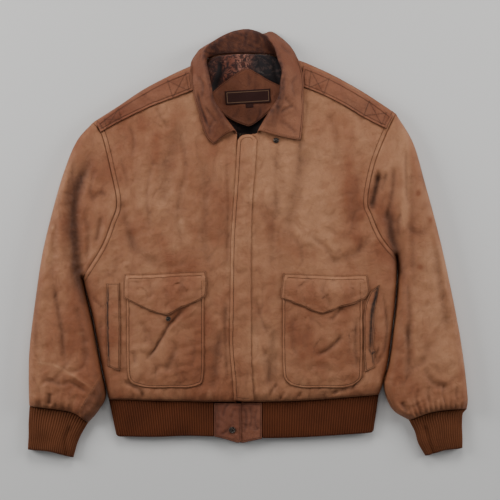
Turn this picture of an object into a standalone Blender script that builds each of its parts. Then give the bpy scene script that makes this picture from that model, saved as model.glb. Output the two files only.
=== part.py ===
"""A worn leather flight jacket, laid flat on its back with the collar up.

Sizes are in millimetres, on a plan with +X to the wearer's left, +Y to the collar and +Z up.
The finished meshes are in metres. Right and left are the wearer's.
"""

import math

import bpy
import numpy as np
from mathutils import Matrix, Vector
from mathutils.bvhtree import BVHTree

MM = 0.001
LEATHER = 2.0
KNIT = 2.6
SEAM_GAP = 0.4
FOLD_HEIGHT = 9.0
TOP_ROUND = 14.0
UNDER_ROUND = 9.0
CHEST_HEIGHT = 36.0
SLEEVE_HEIGHT = 40.0
CUFF_HEIGHT = 20.0
BAND_HEIGHT = 17.0
BLOUSE_DEPTH = 24.0
LAY_GAP = 0.6
RIB_RELIEF = 0.9
BAND_RIB_PITCH = 6.0
CUFF_RIB_PITCH = 4.6
GATHER_HEIGHT = 2.2
NECK_LIFT = 3.4

SHOULDER_R = [(-81, 350), (-111, 338), (-150, 320), (-199, 294), (-247, 262), (-294, 232)]
SHOULDER_L = [(73, 354), (98, 350), (130, 337), (170, 318), (223, 288), (282, 249)]
BACK_NECK = [(-81, 350), (-62, 359), (-16, 363), (28, 362), (52, 360), (73, 354)]
FRONT_NECK_R = [(-20, 211), (-33, 223), (-54, 242), (-73, 270), (-83, 301), (-85, 327), (-81, 350)]
FRONT_NECK_L = [(-8, 206), (20, 211), (39, 234), (56, 255), (69, 278), (75, 305), (77, 335), (73, 354)]
CENTRE_R = [(-22, -301), (-20, -190), (-19, 10), (-19, 110), (-20, 211)]
CENTRE_L = [(-10, -301), (-9, -190), (-8, 10), (-8, 110), (-8, 206)]
SIDE_R = [(-264, -295), (-276, -239), (-286, -186), (-294, -144), (-303, -106), (-313, -64)]
SIDE_L = [(250, -286), (257, -267), (267, -225), (276, -157), (282, -104), (285, -45), (283, -22)]
HEM_LINE = [(-264, -295), (-140, -298), (-12, -300), (110, -297), (190, -291), (250, -286)]
BAND_BOTTOM = [(-250, -366), (-185, -365), (-64, -365), (28, -369), (119, -365), (176, -363), (240, -357)]
ARMHOLE_R = [(-313, -64), (-276, -5), (-258, 40), (-247, 78), (-258, 137), (-276, 208), (-294, 232)]
ARMHOLE_L = [(283, -22), (255, 11), (235, 55), (227, 84), (240, 151), (265, 215), (282, 249)]
SLEEVE_OUTER_R = [(-294, 232), (-325, 196), (-349, 138), (-370, 66), (-390, -18), (-403, -104),
                  (-414, -193), (-416, -253), (-415, -308)]
SLEEVE_OUTER_L = [(282, 249), (315, 193), (336, 122), (361, 29), (382, -62), (405, -180),
                  (418, -283), (417, -313)]
SLEEVE_INNER_R = [(-313, -64), (-304.2, -106), (-295.3, -144), (-287.4, -186), (-277.6, -239),
                  (-269, -287), (-284, -317), (-303, -339)]
SLEEVE_INNER_L = [(283, -22), (286.2, -45), (283.4, -104), (277.6, -157), (268.6, -225),
                  (258.4, -267), (275, -313), (307, -334)]
CUFF_SEAM_R = [(-415, -308), (-379, -312), (-331, -320), (-303, -339)]
CUFF_SEAM_L = [(417, -313), (386, -314), (346, -320), (307, -334)]
CUFF_OUTER_R = [(-415, -308), (-416, -332), (-418, -390)]
CUFF_OUTER_L = [(417, -313), (409, -325), (409, -359), (409, -387)]
CUFF_INNER_R = [(-303, -339), (-313, -356), (-319, -368), (-326, -385), (-331, -405)]
CUFF_INNER_L = [(307, -334), (318, -356), (325, -379), (338, -402)]
CUFF_END_R = [(-418, -390), (-379, -393), (-355, -399), (-331, -405)]
CUFF_END_L = [(409, -387), (375, -391), (355, -397), (338, -402)]

FOLDS = [
    # route, depth (positive sinks), half width
    ([(-298, 176), (-316, 134), (-327, 67), (-329, -12), (-316, -73), (-301, -144)], 11.0, 11.0),
    ([(-294, 84), (-278, 97), (-264, 91)], 3.0, 8.0),
    ([(-275, 56), (-287, -1)], 3.0, 9.0),
    ([(-324, -106), (-307, -191), (-307, -229)], 5.0, 10.0),
    ([(-372, -279), (-375, -305)], 4.0, 8.0),
    ([(-346, 100), (-368, -20), (-378, -130)], -3.0, 14.0),
    ([(-350, -150), (-362, -220), (-366, -270)], 3.5, 10.0),
    ([(277, 156), (275, 110), (264, 58), (255, 29)], 5.0, 9.0),
    ([(276, 37), (278, 2), (288, -40), (296, -110)], 8.0, 10.0),
    ([(308, 175), (311, 100), (322, 0), (326, -100)], 4.0, 11.0),
    ([(352, 20), (366, -90), (380, -180)], 3.5, 13.0),
    ([(290, -250), (292, -290), (302, -322)], 5.0, 8.0),
    ([(-120, 240), (-150, 150), (-160, 60)], 2.5, 22.0),
    ([(-230, 30), (-200, -20), (-150, -40)], 3.0, 16.0),
    ([(180, 220), (190, 120), (160, 20)], -3.0, 30.0),
    ([(120, 200), (90, 100), (70, 0)], 2.5, 20.0),
    ([(235, 20), (200, -20), (150, -35)], 3.0, 14.0),
    ([(-70, -290), (-60, -230), (-50, -150)], 2.5, 12.0),
    ([(40, -285), (45, -220), (50, -150)], 2.5, 12.0),
    ([(-262, -74), (-266, -150), (-260, -226)], 3.5, 7.0),
    ([(250, -74), (246, -150), (247, -226)], 4.0, 7.0),
    ([(-114, -116), (-151, -157), (-178, -203), (-197, -220)], 4.0, 9.0),
    ([(182, -170), (155, -196), (126, -213)], 3.0, 10.0),
    ([(209, -134), (204, -180), (209, -239)], 3.0, 8.0),
]

SLEEVE_STATIONS = [0, .04, .1, .17, .25, .33, .41, .49, .57, .65, .73, .81, .88, .94, .98, 1]
COLOURS = {
    "leather": ((0.262, 0.122, 0.062), 0.5, 0.0),
    "facing": ((0.205, 0.075, 0.03), 0.55, 0.0),
    "knit": ((0.085, 0.028, 0.012), 0.9, 0.0),
    "lining": ((0.06, 0.03, 0.026), 0.7, 0.0),
    "woven": ((0.04, 0.014, 0.01), 0.8, 0.0),
    "metal": ((0.05, 0.04, 0.035), 0.35, 0.9),
    "zip": ((0.09, 0.07, 0.06), 0.5, 0.4),
}


def clear_scene():
    for thing in list(bpy.data.objects):
        bpy.data.objects.remove(thing, do_unlink=True)


def curve_through(points, steps=12):
    """Closely spaced points on a Catmull-Rom curve through hand-placed ones."""
    pts = np.array(points, dtype=float)
    ends = np.vstack([2 * pts[0] - pts[1], pts, 2 * pts[-1] - pts[-2]])
    found = []
    for a, b, c, d in zip(ends[:-3], ends[1:-2], ends[2:-1], ends[3:]):
        for t in np.linspace(0.0, 1.0, steps, endpoint=False):
            found.append(0.5 * (2 * b + (c - a) * t + (2 * a - 5 * b + 4 * c - d) * t * t
                                + (3 * b - a - 3 * c + d) * t ** 3))
    found.append(pts[-1])
    return np.array(found)


def lengths(curve):
    """Distance along a curve at each of its points."""
    return np.concatenate([[0.0], np.cumsum(np.linalg.norm(np.diff(curve, axis=0), axis=1))])


def at(curve, places):
    """Points of a curve at distances along it."""
    run = lengths(curve)
    return np.stack([np.interp(places, run, curve[:, k]) for k in range(curve.shape[1])], axis=-1)


def spread(curve, fractions):
    """Points of a curve at fractions of its length."""
    return at(curve, np.array(fractions) * lengths(curve)[-1])


def distance(curve, xy):
    """Distance from plan points to a curve, and how far along it the nearest point is."""
    a = curve[:-1]
    ab = curve[1:] - a
    flat = np.asarray(xy, dtype=float).reshape(-1, 2)
    rel = flat[:, None, :] - a[None]
    t = np.clip((rel * ab).sum(-1) / np.maximum((ab * ab).sum(-1), 1e-9), 0.0, 1.0)
    gaps = np.linalg.norm(rel - t[..., None] * ab, axis=-1)
    best = gaps.argmin(axis=1)
    rows = np.arange(len(flat))
    run = lengths(curve)
    along = (run[best] + t[rows, best] * (run[best + 1] - run[best])) / run[-1]
    shape = np.asarray(xy).shape[:-1]
    return gaps[rows, best].reshape(shape), along.reshape(shape)


def round_rise(d, radius):
    """Quarter circle: 0 at an edge, 1 from one radius inside it."""
    x = np.clip(np.asarray(d) / radius, 0.0, 1.0)
    return np.sqrt(np.maximum(1.0 - (1.0 - x) ** 2, 0.0))


def ease(x):
    x = np.clip(x, 0.0, 1.0)
    return x * x * (3 - 2 * x)


def edge_steps(radius, parts):
    """Distances from an edge that divide its quarter circle evenly."""
    return [radius * (1 - math.cos(math.pi / 2 * k / parts)) for k in range(parts + 1)]


EDGES = [curve_through(line) for line in (SHOULDER_R, SHOULDER_L, SIDE_R, SIDE_L, SLEEVE_OUTER_R,
                                          SLEEVE_OUTER_L, SLEEVE_INNER_R, SLEEVE_INNER_L)]
HEM = curve_through(HEM_LINE)
ARMHOLES = {"right": curve_through(ARMHOLE_R), "left": curve_through(ARMHOLE_L)}
CUFF_SEAMS = {"right": curve_through(CUFF_SEAM_R), "left": curve_through(CUFF_SEAM_L)}
FOLD_CURVES = [(curve_through(route), depth, width) for route, depth, width in FOLDS]


def edge_distance(xy):
    return np.min([distance(edge, xy)[0] for edge in EDGES], axis=0)


def crease_depth(xy):
    """Sum of the folds at plan points, each fading out at its ends."""
    total = np.zeros(np.asarray(xy).shape[:-1])
    for curve, depth, width in FOLD_CURVES:
        gap, along = distance(curve, xy)
        total += depth * np.exp(-(gap / width) ** 2) * ease(along / 0.25) * ease((1 - along) / 0.25)
    for seam in ARMHOLES.values():
        total += 1.5 * np.exp(-(distance(seam, xy)[0] / 7.0) ** 2)
    return total


def body_dome(xy):
    """Height of the fronts away from every edge, fuller at the chest."""
    x, y = xy[..., 0], xy[..., 1]
    return CHEST_HEIGHT - 5.0 * (x / 300.0) ** 2 - 4.0 * ((y - 20.0) / 320.0) ** 2


def dressed(xy, dome):
    """Height of the upper leather over plan points: rounded edges, then creases."""
    d = edge_distance(xy)
    inside = ease(d / 20.0)
    return FOLD_HEIGHT + (dome - FOLD_HEIGHT) * round_rise(d, TOP_ROUND) - crease_depth(xy) * inside


def body_height(xy):
    """Height of a front: it blouses over the waistband and gathers into it."""
    xy = np.asarray(xy, dtype=float)
    d, along = distance(HEM, xy)
    dome = BAND_HEIGHT + (body_dome(xy) - BAND_HEIGHT) * round_rise(d, BLOUSE_DEPTH)
    waves = GATHER_HEIGHT * np.cos(2 * math.pi * along * 26) * ease(d / 10.0) * np.exp(-d / 22.0)
    return dressed(xy, dome + waves * (np.abs(xy[..., 0] + 15) > 45))


def coons(left, right, bottom, top, us, vs):
    """Grid of plan points between four rows of edge points."""
    u = np.array(us)[None, :, None]
    v = np.array(vs)[:, None, None]
    rows = (1 - u) * left[:, None] + u * right[:, None]
    cols = (1 - v) * bottom[None] + v * top[None]
    corners = ((1 - u) * (1 - v) * left[0] + u * (1 - v) * right[0]
               + (1 - u) * v * left[-1] + u * v * right[-1])
    return rows + cols - corners


def with_height(plan, height):
    height = np.broadcast_to(height, plan.shape[:-1])
    return np.concatenate([plan, height[..., None]], axis=-1)


def unit(vectors):
    return vectors / np.maximum(np.linalg.norm(vectors, axis=-1, keepdims=True), 1e-12)


def grid_normals(grid, around=False):
    """Normals of a grid of points; around joins the ends of each row."""
    if around:
        du = np.roll(grid, -1, axis=1) - np.roll(grid, 1, axis=1)
    else:
        du = np.gradient(grid, axis=1)
    dv = np.gradient(grid, axis=0)
    return unit(np.cross(du, dv))


def seam_normals(curve, across):
    """Directions of a wall's end face along a seam: square to the seam and to its plan normal."""
    tangent = np.gradient(curve, axis=0)
    return unit(np.cross(tangent, across))


def wall(name, outer, normals, thickness, colour, around=False):
    """One closed shell: the outer grid, the same grid moved in, and rims between them."""
    inner = outer - normals * thickness
    rows, cols = outer.shape[:2]
    points = np.vstack([outer.reshape(-1, 3), inner.reshape(-1, 3)])
    size = rows * cols
    faces = []

    def quad(a, b, c, d):
        faces.extend([(a, b, c), (a, c, d)])

    last = cols if around else cols - 1
    for j in range(rows - 1):
        for i in range(last):
            k = (i + 1) % cols
            a, b, c, d = j * cols + i, j * cols + k, (j + 1) * cols + k, (j + 1) * cols + i
            quad(a, b, c, d)
            quad(a + size, d + size, c + size, b + size)
    for i in range(last):
        k = (i + 1) % cols
        quad(k, i, i + size, k + size)
        top = (rows - 1) * cols
        quad(top + i, top + k, top + k + size, top + i + size)
    if not around:
        for j in range(rows - 1):
            a, b = j * cols, (j + 1) * cols
            quad(a, b, b + size, a + size)
            a, b = a + cols - 1, b + cols - 1
            quad(b, a, a + size, b + size)
    return solid(name, points, faces, colour)


def solid(name, points, faces, colour):
    """An object in metres from points in millimetres, turned to face outward."""
    points = np.array(points, dtype=float)
    points[:, 2] = np.maximum(points[:, 2], 0.0)
    tri = points[np.array(faces)]
    if np.einsum("ij,ij->i", tri[:, 0], np.cross(tri[:, 1], tri[:, 2])).sum() < 0:
        faces = [face[::-1] for face in faces]
    mesh = bpy.data.meshes.new(name)
    mesh.from_pydata([Vector(p) * MM for p in points], [], [list(map(int, face)) for face in faces])
    mesh.update()
    mesh.shade_smooth()
    mesh.set_sharp_from_angle(angle=math.radians(50))
    thing = bpy.data.objects.new(name, mesh)
    bpy.context.scene.collection.objects.link(thing)
    mesh.materials.append(finish(colour))
    return thing


def finish(colour):
    """The Principled material of one colour name, made once."""
    found = bpy.data.materials.get(colour)
    if found:
        return found
    base, rough, metal = COLOURS[colour]
    made = bpy.data.materials.new(colour)
    made.use_nodes = True
    shader = made.node_tree.nodes["Principled BSDF"]
    shader.inputs["Base Color"].default_value = (*base, 1.0)
    shader.inputs["Roughness"].default_value = rough
    shader.inputs["Metallic"].default_value = metal
    return made


def across(width, edge, middle):
    """Distances across a row from edge steps and even middle parts."""
    near = np.array(edge)
    span = width - 2 * near[-1]
    inner = near[-1] + span * np.linspace(0, 1, middle + 1)[1:-1]
    return np.concatenate([near, inner, width - near[::-1]])


def armhole_places(side, middle):
    run = lengths(ARMHOLES[side])[-1]
    return across(run, edge_steps(TOP_ROUND, 4), middle)


def plan_normals(curve, toward):
    """Unit normals of a plan curve on the side of a point, with no height."""
    tangent = np.gradient(curve, axis=0)
    normal = unit(np.stack([tangent[:, 1], -tangent[:, 0]], axis=-1))
    if np.dot(normal[len(normal) // 2], np.array(toward) - curve[len(curve) // 2]) < 0:
        normal = -normal
    return normal


def flat3(vectors):
    return np.concatenate([vectors, np.zeros(vectors.shape[:-1] + (1,))], axis=-1)


def front_panel(side):
    """One front: side seam and armhole on one edge, zip edge and neckline on the other."""
    side_seam = curve_through(SIDE_R if side == "right" else SIDE_L)
    armhole = ARMHOLES[side]
    centre = curve_through(CENTRE_R if side == "right" else CENTRE_L)
    neck = curve_through(FRONT_NECK_R if side == "right" else FRONT_NECK_L)
    shoulder = curve_through(SHOULDER_R if side == "right" else SHOULDER_L)[::-1]
    hem_side, hem_end = side_seam[0], centre[0]
    hem = HEM if side == "right" else HEM[::-1]
    hem_run = distance(hem, hem_end[None])[1][0]

    outer_line = np.vstack([side_seam, armhole[1:]])
    inner_line = np.vstack([centre, neck[1:]])
    hem_steps = [0.0, 3.0, 9.0, 17.0, 27.0]
    side_run = lengths(side_seam)[-1]
    arm = armhole_places(side, 14)
    side_rows = np.linspace(hem_steps[-1], side_run, 6)[1:-1]
    outer_places = np.concatenate([hem_steps, side_rows, side_run + arm])
    inner_run, corner = lengths(inner_line)[-1], lengths(centre)[-1]
    top_rows = [inner_run - d for d in edge_steps(TOP_ROUND, 4)[::-1]]
    count = len(outer_places) - len(hem_steps) - len(top_rows)
    middle = np.linspace(hem_steps[-1], top_rows[0], count + 2)[1:-1]
    middle[np.abs(middle - corner).argmin()] = corner
    inner_places = np.concatenate([hem_steps, middle, top_rows])

    outer_pts, inner_pts = at(outer_line, outer_places), at(inner_line, inner_places)
    steps = np.array(edge_steps(TOP_ROUND, 4))
    hem_total = hem_run * lengths(hem)[-1]
    parts = 11
    bottom_places = np.concatenate([steps, np.linspace(steps[-1], hem_total, parts)[1:]])
    shoulder_run = lengths(shoulder)[-1]
    top_places = np.concatenate([steps, np.linspace(steps[-1], shoulder_run, parts)[1:]])
    bottom_pts, top_pts = at(hem, bottom_places), at(shoulder, top_places)
    bottom_pts[0], bottom_pts[-1] = hem_side, hem_end
    us = bottom_places / hem_total
    vs = 0.5 * (outer_places / outer_places[-1] + inner_places / inner_places[-1])
    plan = coons(outer_pts, inner_pts, bottom_pts, top_pts, us, vs)

    height = body_height(plan)
    height[-1, :] = FOLD_HEIGHT
    last_side = len(hem_steps) + len(side_rows)
    height[:last_side + 1, 0] = FOLD_HEIGHT
    grid = with_height(plan, height)
    normals = grid_normals(grid)
    normals *= np.sign(normals[..., 2:].mean())
    toward_body = np.array((0.0, 0.0))
    out_side = -flat3(plan_normals(outer_pts, toward_body))
    out_top = -flat3(plan_normals(top_pts, toward_body))
    normals[:last_side + 1, 0] = out_side[:last_side + 1]
    normals[-1, :] = out_top
    arm_curve = grid[last_side:, 0]
    faces = seam_normals(arm_curve, out_side[last_side:])
    faces *= np.sign(faces[len(faces) // 2, 2])
    normals[last_side + 1:-1, 0] = faces[1:-1]
    normals[0, 1:] = unit(normals[0, 1:] * np.array([1, 0, 1]))
    grid[last_side + 1:-1, 0] -= out_side[last_side + 1:-1] * SEAM_GAP
    grid[-1, :, 2] += SEAM_GAP / 2
    grid[:last_side + 1, 0, 2] += SEAM_GAP / 2
    grid[last_side, 0] -= out_side[last_side] * SEAM_GAP
    grid[-1, 0] -= out_side[-1] * SEAM_GAP
    grid[0, :, 1] += SEAM_GAP
    return wall("front_" + side, grid, normals, LEATHER, "leather")


def under_height(xy, d):
    """Height of the underside: flat on the floor, curled up at its edges, lifted at the neck."""
    curl = FOLD_HEIGHT * (1 - round_rise(d, UNDER_ROUND))
    x, y = xy[..., 0], xy[..., 1]
    lift = NECK_LIFT * ease((y - 300) / 26.0) * ease((104 - np.abs(x + 4)) / 14.0)
    return np.maximum(curl, lift)


def back_panel():
    """The back: one wall flat on the floor, its side, shoulder and armhole edges turned up."""
    side_r, side_l = curve_through(SIDE_R), curve_through(SIDE_L)
    left_line = np.vstack([side_r, ARMHOLES["right"][1:]])
    right_line = np.vstack([side_l, ARMHOLES["left"][1:]])
    shoulder_r = curve_through(SHOULDER_R)[::-1]
    shoulder_l = curve_through(SHOULDER_L)
    neck = curve_through(BACK_NECK)
    top_line = np.vstack([shoulder_r, neck[1:], shoulder_l[1:]])
    steps = np.array(edge_steps(UNDER_ROUND, 3))

    def places(seam, armhole):
        seam_run, arm_run = lengths(seam)[-1], lengths(armhole)[-1]
        arm = across(arm_run, steps, 6)
        return np.concatenate([np.linspace(0, seam_run, 5)[:-1], seam_run + arm])

    left_at, right_at = places(side_r, ARMHOLES["right"]), places(side_l, ARMHOLES["left"])
    last_side = 4
    run_r, run_n, run_l = (lengths(c)[-1] for c in (shoulder_r, neck, shoulder_l))
    top_at = np.concatenate([steps, np.linspace(steps[-1], run_r, 4)[1:],
                             run_r + np.linspace(0, run_n, 7)[1:-1],
                             run_r + run_n + np.linspace(0, run_l - steps[-1], 4),
                             run_r + run_n + run_l - steps[:-1][::-1]])
    hem_total = lengths(HEM)[-1]
    inner = np.linspace(steps[-1], hem_total - steps[-1], len(top_at) - 2 * len(steps) + 2)
    bottom_at = np.concatenate([steps, inner[1:-1], hem_total - steps[::-1]])
    us = bottom_at / hem_total
    vs = 0.5 * (left_at / left_at[-1] + right_at / right_at[-1])
    left, right = at(left_line, left_at), at(right_line, right_at)
    top, bottom = at(top_line, top_at), at(HEM, bottom_at)
    plan = coons(left, right, bottom, top, us, vs)
    grid = with_height(plan, under_height(plan, edge_distance(plan)))
    normals = grid_normals(grid)
    normals *= -np.sign(normals[..., 2:].mean())
    centre = np.array((0.0, 0.0))
    out_l, out_r = -flat3(plan_normals(left, centre)), -flat3(plan_normals(right, centre))
    out_t = -flat3(plan_normals(top, centre))
    for column, out in ((0, out_l), (-1, out_r)):
        grid[:last_side + 1, column, 2] = FOLD_HEIGHT - SEAM_GAP / 2
        normals[:last_side + 1, column] = out[:last_side + 1]
        faces = seam_normals(grid[last_side:, column], out[last_side:])
        faces *= -np.sign(faces[len(faces) // 2, 2])
        normals[last_side + 1:-1, column] = faces[1:-1]
        grid[last_side:, column] -= out[last_side:] * SEAM_GAP
    neck_cols = (top_at > run_r + 1) & (top_at < run_r + run_n - 1)
    grid[-1, ~neck_cols, 2] = FOLD_HEIGHT - SEAM_GAP / 2
    normals[-1, ~neck_cols] = out_t[~neck_cols]
    grid[-1, neck_cols, 2] = NECK_LIFT
    normals[-1, neck_cols] = (0, 0, -1)
    grid[0, :, 1] += SEAM_GAP
    normals[0] = unit(normals[0] * np.array([1, 0, 1]))
    return wall("back_panel", grid, normals, LEATHER, "leather")


def even_grid(left, right, bottom, top, parts, rounds=400):
    """Plan grid between four curves, relaxed until its lines run evenly round an inner corner."""
    even = np.linspace(0, 1, parts + 1)
    g = coons(spread(left, even), spread(right, even), spread(bottom, even), spread(top, even), even, even)
    for _ in range(rounds):
        du, dv = (g[1:-1, 2:] - g[1:-1, :-2]) / 2, (g[2:, 1:-1] - g[:-2, 1:-1]) / 2
        a = (dv * dv).sum(-1, keepdims=True)
        b = (du * dv).sum(-1, keepdims=True)
        c = (du * du).sum(-1, keepdims=True)
        cross = (g[2:, 2:] - g[2:, :-2] - g[:-2, 2:] + g[:-2, :-2]) / 4
        fresh = (a * (g[1:-1, 2:] + g[1:-1, :-2]) + c * (g[2:, 1:-1] + g[:-2, 1:-1]) - 2 * b * cross)
        g[1:-1, 1:-1] = fresh / np.maximum(2 * (a + c), 1e-9)
    return g


def clear_underarm(grid, push=7.0, reach=26.0):
    """Move the lines that pass the underarm point outward, clear of the body's side."""
    corner = grid[0, -1]
    rows, cols = grid.shape[:2]
    near = np.exp(-(np.linalg.norm(grid - corner, axis=-1) / reach) ** 2)
    column = ease((cols - 1 - np.arange(cols)) / 1.5)[None]
    row = ease(np.arange(rows) / 1.5)[:, None]
    grid[..., 0] += np.sign(corner[0]) * push * near * column * row
    return grid


def ring(grid, place, parts_top, parts_under):
    """Plan points once round a flattened sleeve: over the top, then back underneath."""
    spot = place * (len(grid) - 1)
    low = min(int(spot), len(grid) - 2)
    line = grid[low] * (low + 1 - spot) + grid[low + 1] * (spot - low)
    width = lengths(line)[-1]
    over = across(width, edge_steps(TOP_ROUND, 4), parts_top)
    under = across(width, edge_steps(UNDER_ROUND, 3), parts_under)[1:-1][::-1]
    return at(line, np.concatenate([over, under])), len(over)


def sleeve(side):
    """A two-part sleeve as one tube, from the armhole to the cuff seam, creased at the elbow."""
    right = side == "right"
    outer = curve_through(SLEEVE_OUTER_R if right else SLEEVE_OUTER_L)
    inner = curve_through(SLEEVE_INNER_R if right else SLEEVE_INNER_L)
    armhole = ARMHOLES[side][::-1]
    cuff = CUFF_SEAMS[side]
    rows, is_top = [], None
    even = clear_underarm(even_grid(outer, inner, armhole, cuff, 24))
    for k in SLEEVE_STATIONS:
        plan, tops = ring(even, k, 14, 6)
        top = np.arange(len(plan)) < tops
        d = edge_distance(plan)
        d[0] = d[tops - 1] = 0.0
        shoulder = body_dome(plan)
        along = ease(k / 0.3)
        dome = shoulder * (1 - along) + SLEEVE_HEIGHT * along
        to_cuff, run = distance(cuff, plan)
        dome = CUFF_HEIGHT + (dome - CUFF_HEIGHT) * round_rise(to_cuff, BLOUSE_DEPTH)
        dome += GATHER_HEIGHT * np.cos(2 * math.pi * run * 8) * ease(to_cuff / 8) * np.exp(-to_cuff / 20)
        over = dressed(plan, dome)
        over[[0, tops - 1]] = FOLD_HEIGHT
        z = np.where(top, over, under_height(plan, d))
        rows.append(with_height(plan, z))
        is_top = top
    grid = np.array(rows)
    normals = grid_normals(grid, around=True)
    middle_top = normals[:, is_top.sum() // 2, 2].mean()
    normals *= np.sign(middle_top)
    for row, line, sense in ((0, armhole, -1), (-1, cuff, 1)):
        tangent = np.roll(grid[row], -1, axis=0) - np.roll(grid[row], 1, axis=0)
        plan_line = spread(line, np.linspace(0, 1, 60))
        away = flat3(plan_normals(plan_line, (0.0, 0.0) if row == 0 else (0.0, -2000.0)))
        gap, along = distance(line, grid[row, :, :2])
        across_dir = np.stack([np.interp(along, np.linspace(0, 1, 60), away[:, k]) for k in range(3)], -1)
        faces = unit(np.cross(tangent, across_dir))
        faces *= np.sign((faces * normals[row]).sum(-1, keepdims=True))
        beside = normals[1 if row == 0 else -2]
        normals[row] = faces
        for end in (0, tops - 1):
            normals[row, end] = unit(faces[end] + beside[end])
        grid[row] -= across_dir * (SEAM_GAP if row == 0 else SEAM_GAP / 2)
    return wall("sleeve_" + side, grid, normals, LEATHER, "leather", around=True)


def rib_path(length, pitch):
    """Two places to each rib, ridge and groove, over a length."""
    ribs = int(round(length / pitch))
    places = np.linspace(0, length, 2 * ribs + 1)
    relief = np.where(np.arange(len(places)) % 2 == 1, 0.0, -RIB_RELIEF)
    relief[[0, -1]] = -RIB_RELIEF / 2
    return places, relief


def top_section(width, height):
    """The upper half of a flattened tube's section, across and up, closely spaced."""
    t = 0.5 * width * (1 - np.cos(np.linspace(0, math.pi, 241)))
    rise = round_rise(np.minimum(t, width - t), TOP_ROUND)
    return np.stack([t, FOLD_HEIGHT + (height - FOLD_HEIGHT) * rise], axis=-1)


def under_section(width, parts):
    t = across(width, edge_steps(UNDER_ROUND, 3), parts)[1:-1]
    z = FOLD_HEIGHT * (1 - round_rise(np.minimum(t, width - t), UNDER_ROUND))
    return np.stack([t, z], axis=-1)[::-1]


def cuff(side):
    """A rib-knit cuff: raised ribs above, plain where it lies on the floor."""
    right = side == "right"
    outer = curve_through(CUFF_OUTER_R if right else CUFF_OUTER_L)
    inner = curve_through(CUFF_INNER_R if right else CUFF_INNER_L)
    seam = CUFF_SEAMS[side]
    end = curve_through(CUFF_END_R if right else CUFF_END_L)
    crease = curve_through([(-337, -345), (-347, -372), (-345, -400)] if right
                           else [(336, -348), (346, -372), (352, -398)])
    width = 0.5 * (np.linalg.norm(outer[0] - inner[0]) + np.linalg.norm(outer[-1] - inner[-1]))
    top = top_section(width, CUFF_HEIGHT)
    places, relief = rib_path(lengths(top)[-1], CUFF_RIB_PITCH)
    upper = at(top, places)
    lower = under_section(width, 6)
    section = np.vstack([upper, lower])
    relief = np.concatenate([relief, np.zeros(len(lower))])
    fractions = section[:, 0] / width
    rows = []
    for v in (0.0, 0.45, 1.0):
        o, i = spread(outer, [v])[0], spread(inner, [v])[0]
        bulge0 = spread(seam, fractions) - (seam[0] + fractions[:, None] * (seam[-1] - seam[0]))
        bulge1 = spread(end, fractions) - (end[0] + fractions[:, None] * (end[-1] - end[0]))
        plan = o + fractions[:, None] * (i - o) + (1 - v) * bulge0 + v * bulge1
        drop = 4.0 * np.exp(-(distance(crease, plan)[0] / 7.0) ** 2)
        top_share = np.clip((section[:, 1] - FOLD_HEIGHT) / (CUFF_HEIGHT - FOLD_HEIGHT), 0, 1)
        rows.append(with_height(plan, section[:, 1] - drop * top_share))
    grid = np.array(rows)
    grid[0, :, 1] -= 2 * SEAM_GAP
    normals = grid_normals(grid, around=True)
    normals *= np.sign(normals[:, len(upper) // 2, 2].mean())
    normals[0] = unit(normals[0] * np.array([1, 0, 1]))
    normals[-1] = unit(normals[-1] * np.array([1, 0, 1]))
    plain = grid - normals * KNIT
    raised = grid + normals * relief[None, :, None]
    return ribbed("cuff_" + side, raised, plain, around=True)


def ribbed(name, outer, inner, around):
    """A wall whose outer points carry the ribs and whose inner points are plain."""
    away = outer - inner
    thick = np.linalg.norm(away, axis=-1, keepdims=True)
    return wall(name, outer, away / thick, thick, "knit", around)


def waistband():
    """The rib-knit band: from one hem tab round the side, under the back and up to the other."""
    bottom = curve_through(BAND_BOTTOM)
    tab_right, tab_left = -64.0, 28.0
    rows = []
    for v in (0.0, 1.0):
        start, stop = HEM[0] * (1 - v) + bottom[0] * v, HEM[-1] * (1 - v) + bottom[-1] * v
        width = stop[0] - start[0]
        top = top_section(width, BAND_HEIGHT)
        run = lengths(top)
        cut_right = np.interp(tab_right - start[0] - SEAM_GAP, top[:, 0], run)
        cut_left = np.interp(tab_left - start[0] + SEAM_GAP, top[:, 0], run)
        places_r, relief_r = rib_path(cut_right, BAND_RIB_PITCH)
        places_l, relief_l = rib_path(run[-1] - cut_left, BAND_RIB_PITCH)
        if rows:
            places_r = np.linspace(0, cut_right, rows[0][2])
            places_l = np.linspace(0, run[-1] - cut_left, rows[0][3])
        over_r = at(top, places_r)[::-1]
        over_l = at(top, cut_left + places_l)[::-1]
        under = under_section(width, 10)[::-1]
        section = np.vstack([over_r, under, over_l])
        x = start[0] + section[:, 0]
        y_top = np.interp(x, HEM[:, 0], HEM[:, 1])
        y_low = np.interp(x, bottom[:, 0], bottom[:, 1])
        points = np.stack([x, y_top * (1 - v) + y_low * v, section[:, 1]], axis=-1)
        rows.append((points, np.concatenate([relief_r[::-1], np.zeros(len(under)), relief_l[::-1]]),
                     len(places_r), len(places_l)))
    relief = rows[0][1]
    grid = np.array([row[0] for row in rows])
    grid[0, :, 1] -= SEAM_GAP
    normals = grid_normals(grid)
    normals *= np.sign(normals[:, 5, 2].mean())
    normals = unit(normals * np.array([1, 0, 1]))
    normals[:, [0, -1]] = (0, 0, 1)
    return ribbed("waistband", grid + normals * relief[None, :, None], grid - normals * KNIT, False)


def tree_of(*things):
    """A search tree over finished objects, in millimetres."""
    points, faces = [], []
    for thing in things:
        start = len(points)
        points.extend([v.co / MM for v in thing.data.vertices])
        faces.extend([[start + i for i in p.vertices] for p in thing.data.polygons])
    return BVHTree.FromPolygons(points, faces)


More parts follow.
